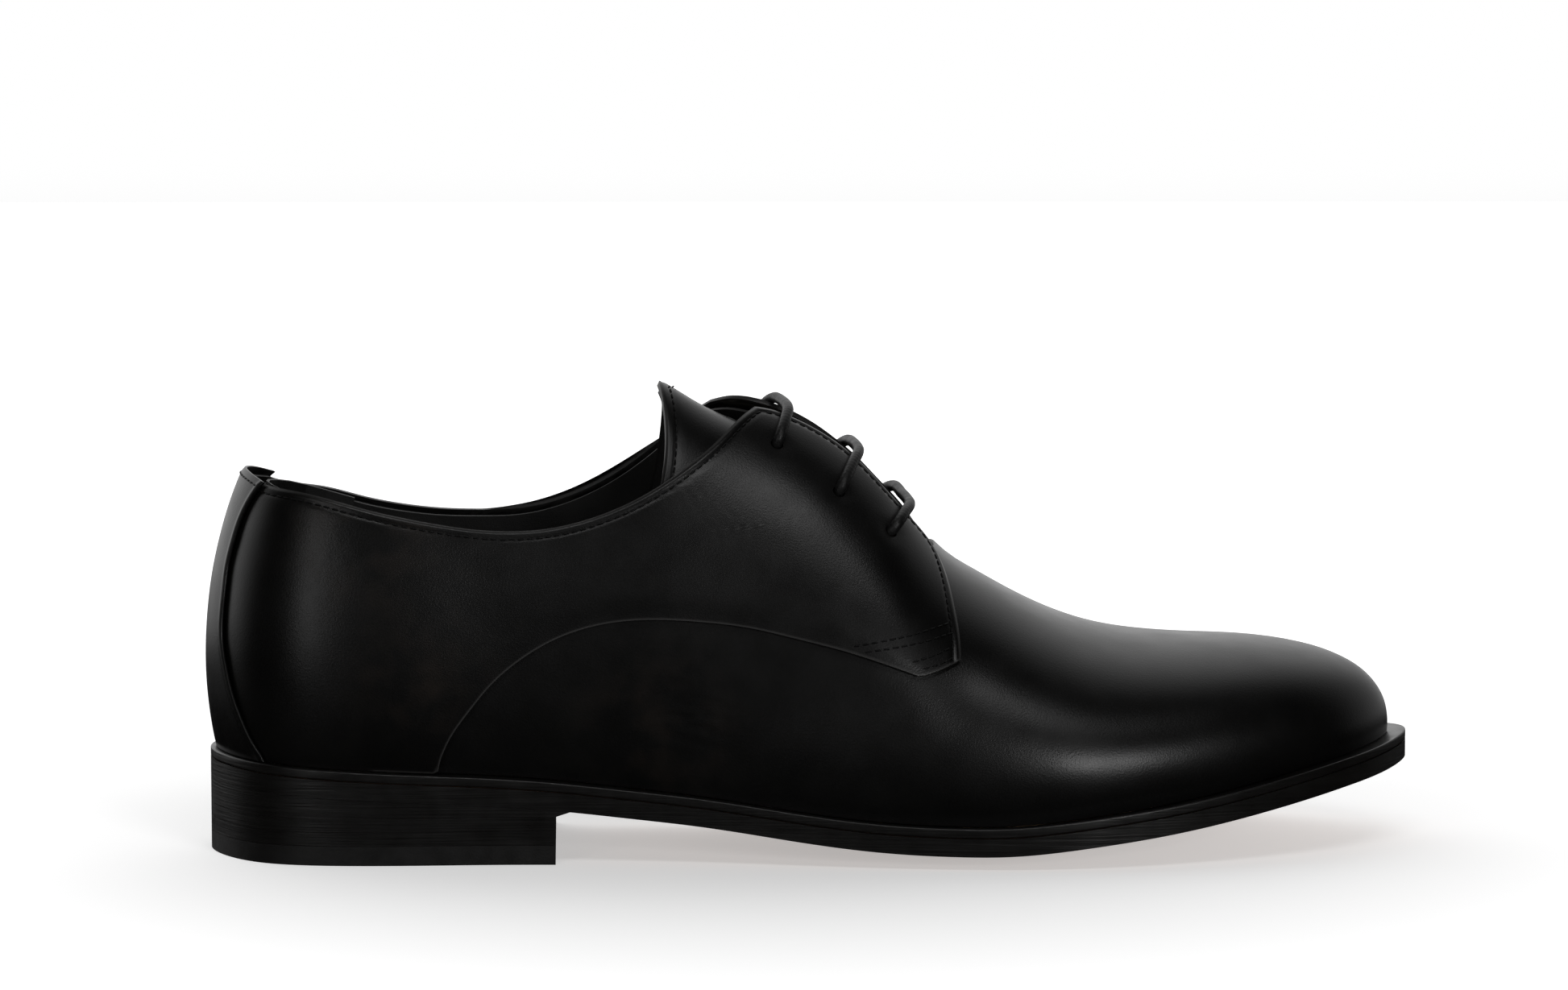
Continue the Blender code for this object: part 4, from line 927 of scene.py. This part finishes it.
def row_on(points, places, distance, edge, walk):
    """Line at a distance from an edge, with its normals; walk turns rows to start at the edge."""
    found = []
    for near, row, at in zip(walk(distance), walk(points), walk(places)):
        reach = np.argmax(near > edge)
        if reach and near[:reach].max() < edge:
            share = (edge - near[reach - 1]) / (near[reach] - near[reach - 1])
            found.append([(1 - share) * rows[reach - 1] + share * rows[reach]
                          for rows in (row, outward(at))])
    found = np.array(found)
    return dense(found[:, 0]), found[:, 1]


TAB_ROWS = [[(7.6, 54.0), (20.0, 56.2), (32.6, 59.2)], [(10.4, 52.6), (21.0, 54.2), (32.8, 56.8)],
            [(21.9, 50.2), (27.0, 51.6), (32.9, 53.8)], [(24.6, 48.6), (29.0, 49.8), (32.9, 51.4)]]
for side, word in enumerate(("lateral", "medial")):
    grid, wing_first = quarter_grid(side)
    flush = on_sheet(grid, QUARTER_OUT)
    folded = dense(np.concatenate([flush[:, -1], flush[-1, ::-1]]))
    cut = dense(flush[wing_first:, 0])
    fold_d, cut_d = apart(flush, folded), apart(flush, cut)
    settle = 0.42 * (1 - smooth(cut_d, 0.0, 7.0))
    front = smooth(grid[..., 0] if side == 0 else 1 - grid[..., 0], 0.24, 0.30)
    settle = np.maximum(settle, 0.45 * front)
    groove = STITCH_DEPTH * np.exp(-((fold_d - STITCH_IN) / STITCH_WIDTH) ** 2)
    roll = 0.35 * (1 - smooth(fold_d, 0.0, 0.9))
    folds = creases(flush, [((-7, 74), 6, 3.4, -0.3, 0.14), ((-118, 78), 6, 3.0, 0.5, 0.12),
                            ((-24, 84), 7, 3.2, 0.9, 0.10), ((10, 62), 5, 3.6, -0.5, 0.10)])
    holes = [eyelet_frame(side, place) for place in EYELET_PLACES[side]]
    near_hole = apart(flush, np.array([at_layer(spot, QUARTER_OUT) for spot, _, _ in holes]))
    dimple = 0.45 * np.exp(-(near_hole / 2.6) ** 2)
    lift = QUARTER_OUT - settle - groove - roll - folds - dimple
    lift += waves(flush, 0.10, 34, 8 + side)
    thick = LEATHER - 0.45 * (1 - smooth(cut_d, 0.0, 3.0))
    quarter = panel(f"upper_quarter_{word}", grid, lift, thick, 0.22)
    done(quarter, calf_quarter, "root", [f"quarter_{word}"])

    outer = at_layer(grid, lift)
    # Painted highlight along the folded topline and facing and along the cut wing edge.
    edge_highlight = np.maximum(0.8 * (1 - smooth(fold_d, 0.15, 0.75)), 1 - smooth(cut_d, 0.1, 0.6))
    store_edge_highlight(quarter, outer, edge_highlight)
    drill(quarter, holes)
    for edge, walk in (("topline", lambda rows: rows[2:-8, ::-1]),
                       ("facing", lambda rows: rows[::-1, 3:].swapaxes(0, 1)[:, :NEAR_ROWS])):
        line, normals = row_on(outer, grid, fold_d, STITCH_IN, walk)
        stitch_row(f"stitches_{edge}_{word}", line, normals, "root", side)
    tree = tree_of(outer.reshape(-1, 3))
    for number, ends in enumerate(TAB_ROWS, 1):
        row = spread(on_side(side, ends, 30, QUARTER_OUT), np.linspace(0, 1, 60))
        ways = outward(row)
        flush_row = at_layer(row, np.full(60, QUARTER_OUT))
        near = outer.reshape(-1, 3)[[tree.find(point)[1] for point in flush_row]]
        sink = ((near - flush_row) * ways).sum(1, keepdims=True)
        stitch_row(f"stitches_tab_{number}_{word}", dense(flush_row + ways * sink), ways, "root",
                   10 * number + side)

# ---- Quarter linings ----------------------------------------------------------------------------
# Thin black lining leather glued inside each quarter and trimmed just under the topline.
LINING_FRONT = [(4.6, 15.4), (8.6, 35.7), (14.5, 51.5), (22.4, 65.4), (26.4, 75.8)]


def lining_grid(side):
    """Quarter lining: heel seam to just behind the vamp lining."""
    seam_s = SEAM_S[side]
    back_top = (seam_s, rib_height(seam_s, TOPLINES[side][0][1] - 0.8))
    top = on_side(side, [(x, z - 0.8) for x, z in TOPLINES[side]], 80, QUARTER_OUT)
    top[0] = back_top
    facing = on_side(side, [(x - 0.6, z - 0.9) for x, z in FACINGS[side][:8]], 50, QUARTER_OUT)
    top[-1] = facing[0]
    top_edge = np.vstack([top, facing[1:]])
    front = on_side(side, LINING_FRONT, 30)
    front[-1] = top_edge[-1]
    foot = np.column_stack([np.linspace(seam_s, front[0][0], 40), np.zeros(40)])
    front[0, 1] = 0.0
    left = np.column_stack([np.full(30, seam_s), np.linspace(0, back_top[1], 30)])
    u, v = np.linspace(0, 1, 110), shares(64, 2.4, False, True)
    return coons(spread(foot, u), spread(top_edge, u), spread(left, v), spread(front, v),
                 u, v)


for side, word in enumerate(("lateral", "medial")):
    grid = lining_grid(side)
    lift = QUARTER_LINING_OUT + waves(on_sheet(grid, QUARTER_LINING_OUT), 0.08, 30, 20 + side)
    lining = panel(f"inside_lining_{word}", grid, lift, LINING, 0.2)
    done(lining, lining_leather, "root", [f"quarter_lining_{word}"])

# ---- Back strip ---------------------------------------------------------------------------------
# Calf strip over the back seam, its top turned over the topline. Its raw edges stand up a little
# and a short row of stitches holds its top.
STRIP_SEAM = [(-136.6, 25.7), (-138.8, 28.5), (-141.8, 34.1), (-144.5, 40.7), (-146.3, 48.0),
              (-147.2, 54.0), (-147.1, 60.2), (-146.5, 66.2), (-145.7, 72.4), (-144.3, 77.9),
              (-142.5, 83.5), (-139.7, 89.0), (-136.6, 93.2)]
STRIP_BOW, STRIP_SKIVE, STRIP_STITCH_IN = 0.02, 0.3, 1.8
outer, inner = [spread(on_side(side, STRIP_SEAM, 60, STRIP_OUT), shares(72, 1.2, False, True))
                for side in (0, 1)]
outer[0, 1] = inner[0, 1] = 0.0
edge_steps = np.array([0.0, 0.008, 0.018, 0.03, 0.045, 0.06, 0.08, 0.11])
across = np.concatenate([edge_steps, np.linspace(0.15, 0.85, 29), 1 - edge_steps[::-1]])
grid = ((1 - across[:, None, None]) * outer + across[:, None, None] * (inner - (1, 0)))
up = np.linspace(0, 1, grid.shape[1]) ** 3
grid[..., 1] += STRIP_BOW * up * (1 - (2 * across[:, None] - 1) ** 2)
flush = on_sheet(grid, STRIP_OUT)
sides_d = apart(flush, dense(np.concatenate([flush[0], flush[-1]])))
top_d = apart(flush, dense(flush[:, -1]))
bead = 0.30 * np.exp(-((sides_d - 0.9) / 0.6) ** 2)
roll = 0.35 * (1 - smooth(top_d, 0.0, 1.4))
lift = STRIP_OUT + bead - roll - STRIP_SKIVE + waves(flush, 0.06, 22, 31)
strip = panel("heel_strip", grid, lift, STRIP - STRIP_SKIVE, 0.2)
done(strip, calf_quarter, "root", ["back_strip"])
line, normals = row_on(at_layer(grid, lift), grid, top_d, STRIP_STITCH_IN,
                       lambda rows: rows[3:-3, ::-1][:, :NEAR_ROWS + 6])
stitch_row("stitches_strip", line, normals, "root", 3)

# ---- Tongue -------------------------------------------------------------------------------------
# Calf tongue with a raw rounded top and one row of stitches, lined with the same black leather.
# It lies under the facings and bends on its seam at the vamp.
TONGUE_OUT, TONGUE_BASE_OUT, TONGUE_BASE_X = -7.2, -3.4, 28.5
TONGUE_DIP, TONGUE_RAMP, TONGUE_LINING_INSET = 5.4, 10.0, 1.2
TONGUE_STITCH_IN = 2.7
TONGUE_EDGE = [(28.4, 67.4), (16.5, 76.8), (0.6, 85.7), (-17.2, 88.7), (-40.8, 87.2)]


def tongue_grid(inset):
    """Tongue from its stitched base under the vamp to its free, rounded top edge."""
    edge = [(x + (inset if x < 0 else -inset), z + inset) for x, z in TONGUE_EDGE]
    u, v = shares(78, 1.3, False, True), shares(66, 1.3, True, True)
    outer, inner = [spread(on_side(side, edge, 50), u) for side in (0, 1)]
    share = v[None, :, None]
    plan = flat(outer)[:, None] * (1 - share) + flat(inner)[:, None] * share
    plan[..., 0] += TONGUE_DIP * u[:, None] * (1 - (2 * v[None] - 1) ** 4)
    return find(flat, plan, 0.0, 1.0)


def tongue_layer(grid):
    """The tongue starts close under the vamp and dips below the lace and the facings."""
    share = smooth(TONGUE_BASE_X - on_last(grid)[..., 0], 0.0, TONGUE_RAMP)
    return TONGUE_BASE_OUT + (TONGUE_OUT - TONGUE_BASE_OUT) * share


grid = tongue_grid(0.0)
flush = at_layer(grid, tongue_layer(grid))
rim = apart(flush, dense(flush[-1]))
lift = (tongue_layer(grid) - 0.18 * np.exp(-((rim - TONGUE_STITCH_IN) / STITCH_WIDTH) ** 2)
        - 0.3 * (1 - smooth(rim, 0.0, 0.8)) + waves(flush, 0.10, 20, 41))
tongue = panel("tongue_outer", grid, lift, LEATHER, 0.22)
outer = at_layer(grid, lift)
# Painted highlight along the tongue's raw top edge.
store_edge_highlight(tongue, outer, 1 - smooth(rim, 0.1, 0.6))
done(tongue, calf_vamp, "tongue", ["tongue"])
line, normals = row_on(outer, grid, rim, TONGUE_STITCH_IN,
                       lambda rows: rows[::-1].swapaxes(0, 1)[6:-6, :NEAR_ROWS])
stitch_row("stitches_tongue", line, normals, "tongue", 4)

grid = tongue_grid(TONGUE_LINING_INSET)
layer = tongue_layer(grid) - LEATHER - 3 * GAP
lining = panel("tongue_inside", grid, layer, LINING, 0.2)
done(lining, lining_leather, "tongue", ["tongue_lining"])

# ---- Lace ---------------------------------------------------------------------------------------
# One waxed round braid through six blind eyelets: three straight bars over the tongue, runs
# between the pairs on the inside, and both tails tucked down inside the quarters.
LACE_RADIUS = 1.4
LACE_INSIDE = EYELET_FLANGE_OUT - 0.35 - GAP - LACE_RADIUS
LACE_OUTSIDE = QUARTER_OUT + GAP + LACE_RADIUS
BAR_CROSSINGS = [[-6.7, 10.5, 22.8], [-9.7, 9.0, 20.8]]
BAR_LIFT, BAR_ROUND = 1.8, 0.3
TAIL_OUTER = [(-23.2, 93.2), (-37.0, 83.3), (-50.9, 69.4), (-60.8, 53.5), (-62.8, 41.6),
              (-54.9, 35.2), (-41.0, 33.7)]
TAIL_INNER = [(-9.3, 83.3), (-25.1, 83.3), (-41.0, 75.3), (-54.9, 61.5), (-62.8, 47.6),
              (-58.8, 37.7), (-45.0, 32.7)]
TAIL_DEPTH = 2.5
LACE_STEP, SOFTENING = 0.4, 90
STRANDS, BRAID_TURN = 4, 2.6
SPOTS = [[eyelet_frame(side, place)[0] for place in EYELET_PLACES[side]] for side in (0, 1)]
EDGES = [on_side(side, FACINGS[side][1:9], 40, QUARTER_OUT) for side in (0, 1)]


def crossing(side, pair):
    """Place on the facing edge that the bar crosses, a little ahead of its eyelet."""
    ahead = at_layer(EDGES[side], QUARTER_OUT)[:, 0]
    return np.array([np.interp(BAR_CROSSINGS[side][pair], ahead, EDGES[side][:, k])
                     for k in (0, 1)])


def through(side, pair, inner, outwards):
    """Up an eyelet from the run towards the place inner; the bar leaves over the facing."""
    spot, over = SPOTS[side][pair], crossing(side, pair)
    centre, normal = on_last(spot), outward(spot)

    def across(place):
        way = on_last(place) - centre
        way = way - normal * (way @ normal)
        return way / np.linalg.norm(way)

    below, above = across(inner), across(over)
    steps = [(below, 2.6, LACE_INSIDE), (below, 0.75, LACE_INSIDE + 0.55),
             (below, 0.0, LACE_INSIDE + 1.7), (above, 0.0, -0.6), (above, 0.0, 2.0),
             (above, 0.75, LACE_OUTSIDE - 0.5), (above, 2.2, LACE_OUTSIDE)]
    points = [centre + way * reach + normal * height for way, reach, height in steps]
    return points if outwards else points[::-1]


def bar(pair, start):
    """The straight bar over one pair, arched over the gap."""
    ends = []
    for side in (start, 1 - start):
        spot, over = SPOTS[side][pair], crossing(side, pair)
        ends.append([at_layer(spot + (over - spot) * share, LACE_OUTSIDE)
                     for share in (0.6, 1.0)])
    near, far_end = ends[0][1], ends[1][1]
    x = (near[0] + far_end[0]) / 2
    top = np.array([x, *ridge(x)]) + (0, 0, BAR_LIFT)
    return [*ends[0], (near + 2 * top) / 3 + (0, 0, BAR_ROUND), top,
            (far_end + 2 * top) / 3 + (0, 0, BAR_ROUND), *ends[1][::-1]]


def inside(side, first, last):
    """The run on the inside between two pairs."""
    a, b = SPOTS[side][first], SPOTS[side][last]
    share = np.linspace(0, 1, 3 * abs(first - last) + 2)[1:-1, None]
    return list(at_layer(a + (b - a) * share, np.full(len(share), LACE_INSIDE)))


def tail(side, pair, route):
    """The loose end: back between lining and tongue, then down the wall to the insole."""
    places = on_side(side, [EYELET_PLACES[side][pair]] + route, 14)[1:]
    return places, list(at_layer(places, LACE_INSIDE - np.linspace(0, 1, 13) ** 3 * TAIL_DEPTH))


outer_places, outer_tail = tail(0, 0, TAIL_OUTER)
inner_places, inner_tail = tail(1, 1, TAIL_INNER)
route = outer_tail[::-1]
route += through(0, 0, outer_places[0], True) + bar(0, 0)
route += through(1, 0, SPOTS[1][1], False) + inside(1, 0, 2)
route += through(1, 2, SPOTS[1][1], True) + bar(2, 1)
route += through(0, 2, SPOTS[0][1], False) + inside(0, 2, 1)
route += through(0, 1, SPOTS[0][2], True) + bar(1, 0)
route += through(1, 1, inner_places[0], False) + inner_tail
middle = dense(np.array(route), LACE_STEP)
for _ in range(SOFTENING):
    middle[1:-1] = (middle[:-2] + 2 * middle[1:-1] + middle[2:]) / 4
tangent = np.gradient(middle, axis=0)
tangent /= np.linalg.norm(tangent, axis=1, keepdims=True)
side_way = np.cross(tangent[0], (0, 0, 1.0))
frames = []
for way in tangent:
    side_way = side_way - way * (side_way @ way)
    side_way = side_way / np.linalg.norm(side_way)
    frames.append((side_way, np.cross(way, side_way)))
frames = np.array(frames)
turn = np.linspace(0, 2 * np.pi, 21)
along = np.arange(len(middle))[:, None] * LACE_STEP
weave = (np.cos(STRANDS * turn + along * BRAID_TURN)
         * np.cos(STRANDS * turn - along * BRAID_TURN))
radius = LACE_RADIUS * (0.985 + 0.05 * weave)
radius[0] = radius[-1] = 0.0
tube = (middle[:, None] + radius[..., None] * (np.cos(turn)[None, :, None] * frames[:, :1]
                                               + np.sin(turn)[None, :, None] * frames[:, 1:]))
tube[:, -1] = tube[:, 0]
lace = welded("shoe_lace", tube, 0.000005)
waxed = Finish("waxed_braid", Specular_IOR_Level=0.35)
yarn = waxed.noise(0.3, 3.0)
waxed.feed(Base_Color=waxed.mix(yarn, (0.0014, 0.0014, 0.0014, 1), (0.006, 0.006, 0.006, 1)),
           Roughness=waxed.ramp(waxed.noise(3.0), (0.3, 0.36), (0.8, 0.55)),
           Normal=waxed.bump(yarn, 0.05))
done(lace, waxed, "root", ["lace"], angle=70)

enamel = Finish("black_enamel", Metallic=0.2)
chips = enamel.noise(1.5, 3.0)
enamel.feed(Base_Color=enamel.mix(chips, (0.01, 0.01, 0.01, 1), (0.022, 0.021, 0.02, 1)),
            Roughness=enamel.ramp(chips, (0.3, 0.25), (0.8, 0.45)), Normal=enamel.bump(chips, 0.01))
film = Finish("aglet_film")
wrap_line = film.noise(0.8, 2.0)
film.feed(Base_Color=film.mix(wrap_line, (0.006, 0.006, 0.006, 1), (0.012, 0.012, 0.012, 1)),
          Roughness=film.ramp(wrap_line, (0.3, 0.15), (0.8, 0.3)),
          Normal=film.bump(wrap_line, 0.02))
for word in ("lateral", "medial"):
    dress(enamel, *[f"eyelet_{word}_{number}" for number in (1, 2, 3)])
    dress(film, f"aglet_{word}")
